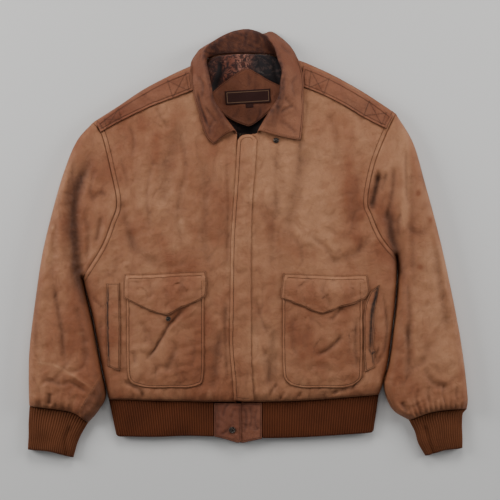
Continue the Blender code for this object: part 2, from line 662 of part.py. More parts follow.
def lay(plan, tree, lift, reach=6.0):
    """Place plan points on what lies under them, clear of it all round within reach."""
    step = 1.5
    ex, ey = np.array([step, 0.0]), np.array([0.0, step])
    slope_x = (body_height(plan + ex) - body_height(plan - ex)) / (2 * step)
    slope_y = (body_height(plan + ey) - body_height(plan - ey)) / (2 * step)
    up = unit(np.stack([-slope_x, -slope_y, np.ones_like(slope_x)], axis=-1))
    base = with_height(plan, body_height(plan))
    side = unit(np.cross(up, np.array([0.0, 1.0, 0.0])))
    along = np.cross(up, side)
    spots = [(0, 0)] + [(math.cos(a), math.sin(a)) for a in np.arange(8) * math.pi / 4]
    placed = np.zeros_like(base)
    for index in np.ndindex(plan.shape[:-1]):
        n = up[index]
        best = -1e9
        for cx, cy in spots:
            shift = reach * (cx * side[index] + cy * along[index])
            origin = base[index] + shift + n * 40.0
            hit = tree.ray_cast(Vector(origin), Vector(-n), 60.0)
            if hit[0] is not None:
                best = max(best, 40.0 - hit[3])
        best = 0.0 if best < -1e8 else best
        placed[index] = base[index] + n * (best + lift)
    return placed, up


def patch(name, plan, tree, thickness, colour, lift=LAY_GAP, reach=6.0, swell=0.0):
    """A flat piece sewn on top of others: laid on them and given its thickness upward."""
    low, up = lay(plan, tree, lift, reach)
    if swell:
        rows, cols = plan.shape[:2]
        u, v = np.meshgrid(np.linspace(0, 1, cols), np.linspace(0, 1, rows))
        low = low + up * (swell * np.sqrt(np.sin(math.pi * u) * np.sin(math.pi * v)))[..., None]
    return wall(name, low + up * thickness, up, thickness, colour)


def strip_plan(left, right, bottom, top, cols, rows):
    """Plan grid inside four hand-placed edges: left and right run up, bottom and top run across."""
    us = np.linspace(0, 1, cols + 1)
    vs = np.linspace(0, 1, rows + 1) if isinstance(rows, int) else np.array(rows)
    sides = [spread(curve_through(line), vs if k < 2 else us)
             for k, line in enumerate((left, right, bottom, top))]
    return coons(*sides, us, vs)


def zip_strip():
    """Zip tapes and chain under the flap, a plain strip with the chain standing up between."""
    columns = np.array([-12.0, -6.0, -2.6, -2.0, 2.0, 2.6, 6.0, 12.0])
    raised = np.array([0.0, 0.0, 0.0, 1.6, 1.6, 0.0, 0.0, 0.0])
    heights = np.linspace(0.07, 1, 13)
    middle = 0.5 * (spread(curve_through(CENTRE_R), heights) + spread(curve_through(CENTRE_L), heights))
    plan = middle[:, None, :] + np.stack([columns, np.zeros(8)], axis=-1)[None]
    plan[-1, :, 1] += 9.0
    drop = LEATHER + LAY_GAP
    z = body_height(plan) - drop
    z = np.minimum(z, z.min(axis=1, keepdims=True) + 0.3)
    z += raised[None]
    grid = with_height(plan, z)
    flat = np.zeros_like(grid)
    flat[..., 2] = 1.0
    return wall("zip", grid, flat, (1.2 + raised)[None, :, None], "zip")


def pocket_plan(side):
    if side == "right":
        return strip_plan([(-216, -264), (-226, -250), (-228, -200), (-228, -130), (-228, -66)],
                          [(-97, -268), (-84, -256), (-82, -200), (-82, -130), (-82, -64)],
                          [(-216, -264), (-190, -271), (-147, -271), (-115, -271), (-97, -268)],
                          [(-228, -66), (-180, -65), (-130, -64), (-82, -64)], 8, 11)
    return strip_plan([(82, -266), (69, -250), (66, -200), (66, -130), (66, -68)],
                      [(203, -265), (215, -250), (217, -200), (217, -130), (217, -68)],
                      [(82, -266), (105, -271), (140, -271), (180, -271), (203, -265)],
                      [(66, -68), (110, -68), (170, -68), (217, -68)], 8, 11)


def flap_plan(side):
    if side == "right":
        return strip_plan([(-233, -101), (-234, -80), (-232, -56)], [(-79, -98), (-76, -74), (-79, -50)],
                          [(-233, -101), (-208, -114), (-178, -127), (-152, -134), (-128, -121),
                           (-100, -110), (-79, -98)],
                          [(-232, -56), (-180, -55), (-130, -52), (-79, -50)], 12, 5)
    return strip_plan([(64, -103), (62, -94), (68, -54)], [(224, -102), (230, -88), (226, -57)],
                      [(64, -103), (90, -112), (118, -124), (143, -131), (170, -120), (198, -112),
                       (224, -102)],
                      [(68, -54), (110, -56), (170, -58), (226, -57)], 12, 5)


def welt_plan(side):
    if side == "right":
        return strip_plan([(-258, -228), (-260, -150), (-258, -75)], [(-241, -240), (-241, -150), (-242, -73)],
                          [(-258, -228), (-241, -240)], [(-258, -75), (-242, -73)], 2, 9)
    return strip_plan([(226, -242), (225, -180), (227, -130), (231, -92)],
                      [(240, -229), (236, -200), (234, -150), (243, -76)],
                      [(226, -242), (240, -229)], [(231, -92), (243, -76)], 2, 9)


def strap_plan(side):
    if side == "right":
        return strip_plan([(-277, 211), (-281, 219), (-284, 226)], [(-110, 288), (-112, 304), (-114, 322)],
                          [(-277, 211), (-252, 226), (-226, 239), (-184, 259), (-142, 275), (-110, 288)],
                          [(-284, 226), (-252, 247), (-219, 269), (-185, 289), (-150, 307), (-114, 322)],
                          13, 3)
    return strip_plan([(110, 295), (110, 312), (112, 330)], [(262, 218), (267, 229), (273, 240)],
                      [(110, 295), (137, 284), (170, 268), (195, 254), (223, 237), (262, 218)],
                      [(112, 330), (140, 318), (174, 301), (210, 281), (240, 262), (273, 240)],
                      13, 3)


def flap_over_zip(tree):
    plan = strip_plan([(-26, -295), (-29, -250), (-34, -190), (-33, -106), (-31, 10), (-24, 115), (-19, 197)],
                      [(12, -296), (8, -240), (7, -106), (7, 10), (10, 86), (16, 160), (18, 197)],
                      [(-26, -295), (-6, -297), (12, -296)],
                      [(-19, 197), (-10, 206), (8, 207), (18, 197)], 4,
                      [0, .007, .02, .036, .056, *np.linspace(.1, 1, 15)])
    return patch("wind_flap", plan, tree, LEATHER, "leather", reach=7.0)


def hem_tab(side):
    """Leather tab at an end of the waistband; the right front's tab laps over the other."""
    xs = [-63.6, -56.0, -44.0, -34.0, -24.0, -12.5] if side == "right" else [-36.0, -20.0, -8.0, 2.0, 14.0, 27.6]
    vs = np.linspace(0, 1, 6)
    top_y = np.interp(xs, HEM[:, 0], HEM[:, 1]) - SEAM_GAP
    low_y = np.interp(xs, [-64, -41, -12, 28], [-365, -370, -379, -369])
    level = BAND_HEIGHT - 3.0
    if side == "right":
        height = np.interp(xs, [-64, -56, -42, -12], [level + 3, level + 3, level + 6.6, level + 6.6])
        low_y[-1] += 3.0
        top_y -= 1.0
    else:
        height = np.full(len(xs), level + 3.0)
        low_y = np.minimum(low_y + np.interp(xs, [-36, -8, 28], [8, 1, 0]), -365)
    plan = np.stack([np.broadcast_to(xs, (6, 6)), top_y + vs[:, None] * (low_y - top_y)], axis=-1)
    grid = with_height(plan, np.broadcast_to(height, (6, 6)))
    flat = np.zeros_like(grid)
    flat[..., 2] = 1.0
    return wall("hem_tab_" + side, grid, flat, 3.0, "leather")


def neck_pieces():
    """Back lining, leather facing, label and size tab, each lying on the one before."""
    made = []
    base = NECK_LIFT + LEATHER + LAY_GAP

    def floor_height(plan):
        d = edge_distance(plan)
        return under_height(plan, d) + LEATHER + LAY_GAP

    def sheet(name, plan, height, thickness, colour):
        grid = with_height(plan, height + thickness)
        flat = np.zeros_like(grid)
        flat[..., 2] = 1.0
        made.append(wall(name, grid, flat, thickness, colour))

    lining = strip_plan([(-78, 190), (-92, 270), (-76, 338)], [(82, 190), (90, 270), (70, 338)],
                        [(-78, 190), (0, 184), (82, 190)],
                        [(-76, 338), (-60, 352), (-16, 357), (28, 356), (50, 353), (70, 338)], 10, 10)
    slope = 3.0 * ease((lining[..., 1] - 200) / 60.0)
    sheet("back_lining", lining, floor_height(lining) + slope, 1.0, "lining")
    facing = strip_plan([(-6, 226), (-30, 236), (-52, 252), (-76, 276)], [(40, 250), (58, 266), (82, 290), (80, 296)],
                        [(-6, 226), (4, 224), (20, 233), (40, 250)],
                        [(-76, 276), (-66, 290), (-45, 308), (-5, 334), (18, 326), (38, 314), (61, 303), (80, 296)],
                        9, 7)
    sheet("neck_facing", facing, base + 3.0 + 1.0 + 0.4, 1.4, "facing")
    label = strip_plan([(-41, 265), (-43, 291)], [(44, 270), (43, 296)], [(-41, 265), (44, 270)],
                       [(-43, 291), (43, 296)], 4, 2)
    sheet("label", label, base + 6.2, 0.8, "woven")
    tab = strip_plan([(-3, 258), (-3.4, 265.5)], [(11, 259), (10.6, 266)], [(-3, 258), (11, 259)],
                     [(-3.4, 265.5), (10.6, 266)], 1, 1)
    sheet("size_tab", tab, base + 6.2, 0.5, "woven")
    made[-1].data.transform(Matrix.Translation(Vector((0, -1.2, 0)) * MM))
    return made


COLLAR_STEPS = [0, .16, .3, .38, .46, .58, .72, .86, 1]
COLLAR = [
    # neck seam, roll, middle of the leaf and its outer edge: x, y, z of the wall's middle
    ((-20, 208, 34), (-26, 214, 39), (-46, 203, 40), (-64, 188, 37)),
    ((-30, 219, 33), (-36, 228, 45), (-58, 217, 44), (-77, 202, 37)),
    ((-51, 241, 33), (-50, 250, 49), (-70, 240, 46), (-86, 227, 37)),
    ((-71, 270, 33), (-63, 271, 52), (-80, 264, 47), (-93, 253, 37)),
    ((-81, 300, 32), (-68, 296, 54), (-86, 290, 48), (-101, 280, 36)),
    ((-83, 326, 29), (-75, 329, 52), (-93, 322, 45), (-106, 311, 33)),
    ((-78, 351, 21), (-80, 352, 44), (-96, 349, 34), (-107, 345, 16)),
    ((-70, 357.5, 7), (-78, 370, 28), (-92, 368, 16), (-93, 362, 3)),
    ((-52, 362, 4.4), (-60, 386, 14), (-74, 377, 1.6), (-66, 352, 1.3)),
    ((-16, 363.9, 4.4), (-30, 400, 12), (-33, 385, 1.4), (-28, 345, 1.3)),
    ((6, 363.7, 4.4), (-2, 405, 12), (-4, 388, 1.4), (-4, 342, 1.3)),
    ((28, 363, 4.4), (18, 401, 15), (19, 392, 1.6), (16, 366, 1.3)),
    ((37, 362.6, 4.6), (27, 398, 20), (31, 400, 8), (31, 396, 1.6)),
    ((46, 361.7, 4.8), (37, 391, 26), (45, 400, 13), (47, 405, 3)),
    ((64, 358.5, 9), (50, 373, 38), (66, 381, 24), (79, 380, 6)),
    ((71, 356, 21), (58, 347, 46), (78, 352, 36), (94, 354, 18)),
    ((74, 335, 29), (65, 326, 51), (86, 327, 43), (103, 328, 31)),
    ((72, 306, 32), (62, 303, 52), (85, 303, 46), (106, 303, 37)),
    ((66, 279, 33), (58, 276, 50), (83, 278, 45), (105, 280, 38)),
    ((53, 256, 33), (45, 255, 48), (77, 256, 44), (106, 256, 38)),
    ((36, 234, 33), (32, 233, 45), (68, 231, 42), (104, 228, 38)),
    ((19, 208.5, 34), (22, 214, 39), (60, 203, 40), (100, 195, 38)),
]


def collar(tree):
    """Collar in one piece: stand from the neck seam up to the roll, leaf from the roll outward."""
    stations = []
    for neck, roll, leaf, edge in np.array(COLLAR, dtype=float):
        outward = unit((leaf - roll) * np.array([1, 1, 0]))
        stand = 0.5 * (neck + roll) - outward * 2.0
        start = roll + 0.2 * (leaf - roll) + np.array([0, 0, 0.12]) * (leaf[2] > 12) * roll[2]
        if leaf[2] < 5:
            start = roll + np.array([0, 3.0, -5.5])
        stations.append([neck, stand, roll, start, leaf, edge])
    long_way = [curve_through(line, 3) for line in np.array(stations).transpose(1, 0, 2)]
    rows = []
    for station in np.array(long_way).transpose(1, 0, 2)[::2]:
        rows.append(spread(curve_through(station, 8), COLLAR_STEPS))
    grid = np.array(rows)
    normals = grid_normals(grid)
    normals *= np.sign(normals[3, 6, 2])
    for j, i in np.ndindex(grid.shape[:2]):
        if i in (1, 2, 3) or grid[j, i, 2] < 12:
            continue
        found = [tree.ray_cast(Vector((grid[j, i, 0] + a, grid[j, i, 1] + b, 90.0)), Vector((0, 0, -1)), 100.0)[0]
                 for a, b in ((0, 0), (6, 0), (-6, 0), (0, 11), (0, -11))]
        tops = [hit.z for hit in found if hit is not None]
        if tops and i == 0:
            grid[j, i, 2] = max(tops) + 3 * LAY_GAP
        elif tops:
            grid[j, i, 2] = max(grid[j, i, 2], max(tops) + LEATHER / 2 + LAY_GAP)
    return wall("collar", grid + normals * LEATHER / 2, normals, LEATHER, "leather")


def snap(name, x, y, z, radius, height):
    """A press stud's cap: a low drum with a rounded rim, sixteen-sided."""
    sides = 16
    profile = [(radius, 0.0), (radius, height * 0.55), (radius * 0.82, height), (radius * 0.5, height * 0.8)]
    points = [(x, y, z)]
    for r, h in profile:
        points += [(x + r * math.cos(2 * math.pi * k / sides), y + r * math.sin(2 * math.pi * k / sides), z + h)
                   for k in range(sides)]
    points.append((x, y, z + height * 0.8))
    faces = []
    for k in range(sides):
        n = (k + 1) % sides
        faces.append((0, 1 + n, 1 + k))
        for level in range(len(profile) - 1):
            a, b = 1 + level * sides, 1 + (level + 1) * sides
            faces += [(a + k, a + n, b + n), (a + k, b + n, b + k)]
        top = 1 + (len(profile) - 1) * sides
        faces.append((top + k, top + n, len(points) - 1))
    return solid(name, points, faces, "metal")


def height_on(tree, x, y):
    """Highest point under a disc's rim and centre."""
    found = [tree.ray_cast(Vector((x + 5 * math.cos(a), y + 5 * math.sin(a), 120)), Vector((0, 0, -1)))[0]
             for a in np.arange(12) * math.pi / 6]
    found.append(tree.ray_cast(Vector((x, y, 120)), Vector((0, 0, -1)))[0])
    return max(hit.z for hit in found if hit is not None)


def centre_on_floor():
    """Move every mesh so that the whole jacket's box stands centred on the origin."""
    meshes = [thing.data for thing in bpy.data.objects]
    spots = np.array([vertex.co[:] for mesh in meshes for vertex in mesh.vertices])
    low, high = spots.min(axis=0), spots.max(axis=0)
    middle = Vector(((low[0] + high[0]) / 2, (low[1] + high[1]) / 2, low[2]))
    for mesh in meshes:
        mesh.transform(Matrix.Translation(-middle))


def build():
    clear_scene()
    back_panel()
    fronts = {side: front_panel(side) for side in ("right", "left")}
    sleeves = {side: sleeve(side) for side in ("right", "left")}
    for side in ("right", "left"):
        cuff(side)
    waistband()
    zip_strip()
    flap_over_zip(tree_of(*fronts.values()))
    neck_pieces()
    tab = {side: hem_tab(side) for side in ("left", "right")}
    for side in ("right", "left"):
        front = tree_of(fronts[side])
        pocket = patch("pocket_" + side, pocket_plan(side), front, LEATHER, "leather", reach=7.0, swell=2.0)
        below = [fronts[side], pocket]
        if side == "right":
            snap("snap_pocket_right", -149, -140.5, height_on(tree_of(pocket), -149, -140.5) + LAY_GAP, 4.5, 1.8)
        patch("pocket_flap_" + side, flap_plan(side), tree_of(*below), LEATHER, "leather", reach=8.0)
        patch("welt_" + side, welt_plan(side), front, LEATHER, "leather", reach=5.0)
        patch("shoulder_strap_" + side, strap_plan(side), tree_of(fronts[side], sleeves[side]), LEATHER,
              "leather", lift=LAY_GAP + 0.2, reach=6.0)
    straps = [bpy.data.objects["shoulder_strap_" + side] for side in ("right", "left")]
    collar(tree_of(*fronts.values(), *straps))
    snap("snap_hem", -29, -352, height_on(tree_of(tab["right"]), -29, -352) + LAY_GAP, 6.0, 2.4)
    snap("snap_collar", 54, 196, height_on(tree_of(fronts["left"]), 54, 196) + LAY_GAP, 5.0, 2.0)
    centre_on_floor()


build()
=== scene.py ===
import math

import bpy
import numpy as np
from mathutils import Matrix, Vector
from mathutils.bvhtree import BVHTree


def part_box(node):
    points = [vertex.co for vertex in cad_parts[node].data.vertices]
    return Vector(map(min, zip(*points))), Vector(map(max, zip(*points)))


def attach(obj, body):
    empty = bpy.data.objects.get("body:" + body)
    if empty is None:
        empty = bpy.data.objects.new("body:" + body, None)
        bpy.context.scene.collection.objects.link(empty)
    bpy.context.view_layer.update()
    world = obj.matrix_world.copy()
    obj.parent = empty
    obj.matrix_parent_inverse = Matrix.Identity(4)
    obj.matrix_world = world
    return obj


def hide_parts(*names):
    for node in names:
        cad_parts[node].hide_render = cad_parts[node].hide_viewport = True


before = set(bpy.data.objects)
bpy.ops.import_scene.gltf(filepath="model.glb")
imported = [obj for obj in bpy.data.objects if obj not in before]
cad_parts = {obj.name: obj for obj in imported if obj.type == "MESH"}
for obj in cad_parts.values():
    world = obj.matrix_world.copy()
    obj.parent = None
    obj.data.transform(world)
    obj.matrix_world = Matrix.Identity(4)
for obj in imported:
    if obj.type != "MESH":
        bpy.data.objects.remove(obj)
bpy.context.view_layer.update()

# Fronts and back: mid-brown cowhide cut as two fronts and one back, in shells LEATHER thick.
# They are joined at the sides and shoulders, and the whole jacket lies on its back, so each
# side edge is a soft roll of leather and the fronts blouse over the knit band.

LEATHER = 1.6
SEAM_GAP = 0.4
# how far in from an armhole its stitching runs, and the distance that counts as no seam near
ARMHOLE_ROW, NO_SEAM = 8.0, 30.0
FOLD_HEIGHT, TOP_ROUND, UNDER_ROUND = 9.0, 14.0, 9.0
CHEST_HEIGHT, BLOUSE_DEPTH, BAND_HEIGHT, NECK_LIFT = 36.0, 24.0, 17.0, 3.4

SHOULDER_R = [(-81, 350), (-111, 338), (-150, 320), (-199, 294), (-247, 262), (-294, 232)]
SHOULDER_L = [(73, 354), (98, 350), (130, 337), (170, 318), (223, 288), (282, 249)]
BACK_NECK = [(-81, 350), (-62, 359), (-16, 363), (28, 362), (52, 360), (73, 354)]
FRONT_NECK_R = [(-20, 211), (-33, 223), (-54, 242), (-73, 270), (-83, 301), (-85, 327), (-81, 350)]
FRONT_NECK_L = [(-8, 206), (20, 211), (39, 234), (56, 255), (69, 278), (75, 305), (77, 335), (73, 354)]
CENTRE_R = [(-22, -301), (-20, -190), (-19, 10), (-19, 110), (-20, 211)]
CENTRE_L = [(-10, -301), (-9, -190), (-8, 10), (-8, 110), (-8, 206)]
SIDE_R = [(-264, -295), (-276, -239), (-286, -186), (-294, -144), (-303, -106), (-313, -64)]
SIDE_L = [(250, -286), (257, -267), (267, -225), (276, -157), (282, -104), (285, -45), (283, -22)]
HEM_LINE = [(-264, -295), (-140, -298), (-12, -300), (110, -297), (190, -291), (250, -286)]
ARMHOLE_R = [(-313, -64), (-276, -5), (-258, 40), (-247, 78), (-258, 137), (-276, 208), (-294, 232)]
ARMHOLE_L = [(283, -22), (255, 11), (235, 55), (227, 84), (240, 151), (265, 215), (282, 249)]
SLEEVE_OUTER_R = [(-294, 232), (-325, 196), (-349, 138), (-370, 66), (-390, -18), (-403, -104),
                  (-414, -193), (-416, -253), (-415, -308)]
SLEEVE_OUTER_L = [(282, 249), (315, 193), (336, 122), (361, 29), (382, -62), (405, -180),
                  (418, -283), (417, -313)]
SLEEVE_INNER_R = [(-313, -64), (-304.2, -106), (-295.3, -144), (-287.4, -186), (-277.6, -239),
                  (-269, -287), (-284, -317), (-303, -339)]
SLEEVE_INNER_L = [(283, -22), (286.2, -45), (283.4, -104), (277.6, -157), (268.6, -225),
                  (258.4, -267), (275, -313), (307, -334)]

# each fold: route, depth in millimetres (positive sinks) and half width, placed after the photo
FOLDS = [
    ([(-292, 192), (-303, 150), (-320, 112), (-329, 60), (-326, 5), (-321, -60), (-308, -100), (-298, -132),
      (-295, -164)], 9.0, 14.0),
    ([(-334, 150), (-346, 70), (-352, -30), (-340, -110)], -2.5, 11.0),
    ([(-294, 84), (-278, 97), (-264, 91)], 3.0, 5.0),
    ([(-275, 56), (-287, -1)], 3.0, 6.0),
    ([(-324, -106), (-307, -191), (-307, -229)], 2.0, 8.0),
    ([(-372, -279), (-375, -305)], 4.0, 6.0),
    ([(-336, -243), (-298, -268)], -2.5, 5.0),
    ([(-340, -256), (-300, -281)], 2.5, 5.0),
    ([(-366, -60), (-360, -110), (-350, -165), (-346, -232)], 3.2, 6.0),
    ([(-392, -60), (-400, -140), (-398, -220)], 2.0, 7.0),
    ([(-322, 170), (-336, 120), (-345, 60)], 2.0, 8.0),
    ([(-390, -250), (-360, -262), (-330, -262)], 2.0, 6.0),
    ([(-300, -110), (-292, -170), (-280, -225)], 2.5, 5.0),
    ([(277, 156), (275, 117), (274, 99), (264, 58), (255, 29)], 3.2, 6.0),
    ([(268, 74), (272, 20), (282, -20), (290, -76)], 6.5, 11.0),
    ([(308, 175), (309, 84), (311, -30), (316, -110)], 1.6, 7.0),
    ([(322, 165), (325, 80), (330, -20)], -2.0, 9.0),
    ([(250, 142), (244, 110), (237, 84), (233, 58)], 8.0, 7.5),
    ([(290, -296), (302, -321)], 4.0, 6.0),
    ([(352, 20), (366, -90), (380, -180)], 2.6, 10.0),
    ([(300, -140), (304, -210), (300, -260)], 3.0, 7.0),
    ([(330, -230), (352, -262), (385, -270)], 2.4, 7.0),
    ([(345, -180), (330, -220), (300, -240)], 2.0, 8.0),
    ([(296, 40), (322, 20), (345, 30)], 1.8, 7.0),
    ([(-120, 240), (-150, 150), (-160, 60)], 2.0, 16.0),
    ([(-230, 30), (-200, -20), (-150, -40)], 1.6, 12.0),
    ([(-246, 100), (-226, 30), (-214, -30)], 2.2, 9.0),
    ([(-95, 190), (-80, 110), (-84, 20), (-70, -60)], 1.8, 13.0),
    ([(-60, 150), (-52, 60), (-56, -30)], -1.5, 12.0),
    ([(-205, 180), (-196, 110), (-170, 40)], -1.8, 14.0),
    ([(180, 220), (190, 120), (160, 20)], -2.4, 22.0),
    ([(120, 200), (90, 100), (70, 0)], 2.2, 15.0),
    ([(60, 120), (46, 20), (50, -60)], 1.8, 11.0),
    ([(235, 20), (200, -20), (150, -35)], 1.8, 10.0),
    ([(215, 150), (200, 80), (205, 10)], 1.3, 11.0),
    ([(140, 150), (120, 60), (110, -30)], -1.6, 15.0),
    ([(40, 180), (60, 140), (70, 90)], 1.5, 9.0),
    ([(-70, -290), (-60, -230), (-50, -150)], 2.6, 9.0),
    ([(-46, -280), (-44, -200), (-46, -110)], -1.6, 8.0),
    ([(40, -285), (45, -220), (50, -150)], 2.6, 9.0),
    ([(26, -120), (24, -200), (30, -280)], -1.4, 7.0),
    ([(60, -290), (52, -250), (58, -190)], 1.8, 6.0),
    ([(-238, -258), (-206, -273), (-193, -294)], 3.0, 5.0),
    ([(-275, -130), (-280, -190), (-268, -250)], 2.4, 6.0),
    ([(262, -110), (264, -165), (256, -215)], 2.0, 5.0),
    ([(-306, 60), (-300, 10), (-306, -40)], 2.0, 6.0),
    ([(-286, 150), (-296, 110), (-290, 70)], 2.0, 5.0),
    ([(-372, 130), (-384, 60), (-392, -10)], 1.6, 7.0),
    ([(-130, 230), (-118, 150), (-132, 60), (-120, -30)], 1.8, 7.0),
    ([(-178, 170), (-190, 90), (-182, 10)], 1.6, 6.0),
    ([(150, 250), (168, 200), (160, 140)], 1.5, 7.0),
    ([(60, 200), (52, 120), (58, 40)], 1.4, 6.0),
    ([(169, -283), (164, -276)], 2.4, 6.0),
    ([(225, -246), (206, -262), (190, -285)], 2.4, 6.0),
    ([(-226, 228), (-215, 196), (-219, 160)], 2.2, 4.5),
    ([(-173, 262), (-164, 240), (-146, 212)], 1.8, 4.5),
    ([(-243, 168), (-232, 136), (-228, 106)], 1.6, 4.5),
    ([(-41, 186), (-38, 120), (-37, 40), (-40, -60)], 1.8, 4.5),
    ([(-39, -90), (-42, -170), (-37, -270)], 2.2, 4.0),
    ([(90, 236), (100, 180), (94, 120)], 1.6, 8.0),
    ([(116, 20), (150, -10), (170, -44)], 2.0, 6.0),
    ([(76, 30), (100, -10), (104, -44)], 1.4, 6.0),
    ([(14, -96), (26, -140), (44, -180)], 2.2, 4.5),
    ([(32, -190), (40, -230), (38, -262)], 1.8, 5.0),
    ([(57, -262), (44, -280), (36, -294)], 2.4, 4.0),
    ([(72, -276), (66, -286), (60, -296)], 2.2, 3.5),
    ([(104, -280), (94, -288), (90, -296)], 1.8, 3.5),
    ([(150, -276), (146, -286), (150, -294)], 1.8, 3.5),
    ([(205, -262), (180, -276), (150, -284)], 1.8, 4.5),
    ([(-232, -40), (-222, -52), (-216, -62)], 1.8, 4.0),
    ([(-294, -98), (-282, -112), (-270, -124)], 3.0, 3.0),
    ([(237, -198), (243, -206), (249, -194)], 3.4, 2.8),
    ([(240, -206), (246, -224), (252, -208)], 3.0, 2.8),
    ([(252, -76), (259, -112), (264, -162), (259, -199), (248, -228)], 1.8, 3.0),
    ([(300, -60), (306, -130), (302, -200)], 2.2, 7.0),
    ([(345, -262), (340, -285), (346, -305)], 1.8, 4.0),
    ([(372, -262), (368, -284), (374, -302)], 1.8, 4.0),
    ([(396, -262), (394, -284), (400, -302)], 1.8, 4.0),
    ([(322, -270), (318, -292), (324, -314)], 1.8, 4.0),
    ([(322, 200), (331, 150), (336, 90)], 2.2, 4.5),
    ([(300, 190), (299, 130), (302, 70)], 2.2, 4.5),
    ([(262, 140), (258, 118), (250, 96)], 2.2, 4.0),
    ([(290, 60), (284, 40), (287, 10)], 2.2, 4.5),
    ([(-360, 60), (-366, -10), (-372, -80)], 1.4, 8.0),
    ([(-300, -200), (-312, -232), (-340, -244)], 1.8, 5.0),
    ([(-352, -245), (-366, -256), (-392, -262)], 1.8, 5.0),
    ([(-114, -116), (-151, -157), (-178, -203), (-197, -220)], 2.0, 9.0),
    ([(182, -170), (155, -196), (126, -213)], 2.0, 9.0),
]


def curve_through(points, steps=12):
    """Closely spaced points on a smooth curve through given ones."""
    pts = np.array(points, dtype=float)
    ends = np.vstack([2 * pts[0] - pts[1], pts, 2 * pts[-1] - pts[-2]])
    found = []
    for a, b, c, d in zip(ends[:-3], ends[1:-2], ends[2:-1], ends[3:]):
        for t in np.linspace(0.0, 1.0, steps, endpoint=False):
            found.append(0.5 * (2 * b + (c - a) * t + (2 * a - 5 * b + 4 * c - d) * t * t
                                + (3 * b - a - 3 * c + d) * t ** 3))
    found.append(pts[-1])
    return np.array(found)


def lengths(curve):
    return np.concatenate([[0.0], np.cumsum(np.linalg.norm(np.diff(curve, axis=0), axis=1))])


def at(curve, places):
    """Points of a curve at distances along it."""
    run = lengths(curve)
    return np.stack([np.interp(places, run, curve[:, k]) for k in range(curve.shape[1])], axis=-1)


def spread(curve, fractions):
    """Points of a curve at fractions of its length."""
    return at(curve, np.array(fractions) * lengths(curve)[-1])


def distance(curve, xy, reach=1e4):
    """Distance from plan points to a curve, and how far along it; beyond reach it is reach."""
    a = curve[:-1]
    ab = curve[1:] - a
    shape = np.asarray(xy).shape[:-1]
    flat = np.asarray(xy, dtype=float).reshape(-1, 2)
    near = ((flat > curve.min(axis=0) - reach) & (flat < curve.max(axis=0) + reach)).all(axis=1)
    gap, along = np.full(len(flat), float(reach)), np.zeros(len(flat))
    if near.any():
        rel = flat[near][:, None, :] - a[None]
        t = np.clip((rel * ab).sum(-1) / np.maximum((ab * ab).sum(-1), 1e-9), 0.0, 1.0)
        gaps = np.linalg.norm(rel - t[..., None] * ab, axis=-1)
        best = gaps.argmin(axis=1)
        rows = np.arange(len(best))
        run = lengths(curve)
        gap[near] = gaps[rows, best]
        along[near] = (run[best] + t[rows, best] * (run[best + 1] - run[best])) / run[-1]
    return gap.reshape(shape), along.reshape(shape)


def round_rise(d, radius):
    """Quarter circle: 0 at an edge, 1 from one radius inside it."""
    x = np.clip(np.asarray(d) / radius, 0.0, 1.0)
    return np.sqrt(np.maximum(1.0 - (1.0 - x) ** 2, 0.0))


def ease(x):
    x = np.clip(x, 0.0, 1.0)
    return x * x * (3 - 2 * x)


def edge_steps(radius, parts):
    return [radius * (1 - math.cos(math.pi / 2 * k / parts)) for k in range(parts + 1)]


TOP_STEPS, UNDER_STEPS = edge_steps(TOP_ROUND, 7), edge_steps(UNDER_ROUND, 5)


def ripples(xy, wavelength, seed, waves=14):
    """Soft random unevenness between about -1 and 1, the same each time."""
    draw = np.random.default_rng(seed)
    total = np.zeros(np.asarray(xy).shape[:-1])
    for _ in range(waves):
        angle, phase = draw.uniform(0, 2 * math.pi, 2)
        number = 2 * math.pi / (wavelength * draw.uniform(0.6, 1.6))
        total += np.sin(number * (xy[..., 0] * math.cos(angle) + xy[..., 1] * math.sin(angle)) + phase)
    return total / math.sqrt(waves)


def fold_curves(folds):
    """The listed folds, with a smooth curve in place of each route."""
    return [(curve_through(route, 8), depth, width) for route, depth, width in folds]


EDGES = [curve_through(line) for line in (SHOULDER_R, SHOULDER_L, SIDE_R, SIDE_L, SLEEVE_OUTER_R,
                                          SLEEVE_OUTER_L, SLEEVE_INNER_R, SLEEVE_INNER_L)]
HEM = curve_through(HEM_LINE)
ARMHOLES = {"right": curve_through(ARMHOLE_R), "left": curve_through(ARMHOLE_L)}
FOLD_CURVES = fold_curves(FOLDS)


def edge_distance(xy):
    return np.min([distance(edge, xy)[0] for edge in EDGES], axis=0)


def fold_parts(xy, folds=FOLD_CURVES):
    """How far the folds sink the leather at plan points, and how much painted shade each point gets in a
    crease.
    """
    sink = np.zeros(np.asarray(xy).shape[:-1])
    shade_and_dark_tone = np.zeros_like(sink)
    for curve, depth, width in folds:
        gap, along = distance(curve, xy, 4 * width)
        taper = ease(along / 0.22) * ease((1 - along) / 0.22)
        g = gap / width
        sink += depth * taper * (1 - 0.45 * g * g) * np.exp(-0.75 * g * g)
        if depth > 0:
            shade_and_dark_tone += min(depth / 6.0, 1.0) * taper * np.exp(-(g / 0.75) ** 2)
    return sink, shade_and_dark_tone


def seam_rise(xy):
    """Seams are let in a little, and the leather stands up just beside them."""
    rise = np.zeros(np.asarray(xy).shape[:-1])
    for seam in ARMHOLES.values():
        gap = distance(seam, xy, NO_SEAM)[0]
        rise += 0.7 * np.exp(-((gap - 5.0) / 2.6) ** 2) - 0.6 * np.exp(-(gap / 2.0) ** 2)
    return rise


def wrinkle_lines(xy, spacing, seed):
    """Thin creases that wander mostly up and down the leather, here and there."""
    drawn = xy * np.array([1.0, 0.5])
    line = np.exp(-(ripples(drawn, spacing, seed) / 0.2) ** 2)
    return line * ease((ripples(drawn, 1.4 * spacing, seed + 1) - 0.1) / 0.6)


def body_dome(xy):
    x, y = xy[..., 0], xy[..., 1]
    return CHEST_HEIGHT - 5.0 * (x / 300.0) ** 2 - 4.0 * ((y - 20.0) / 320.0) ** 2


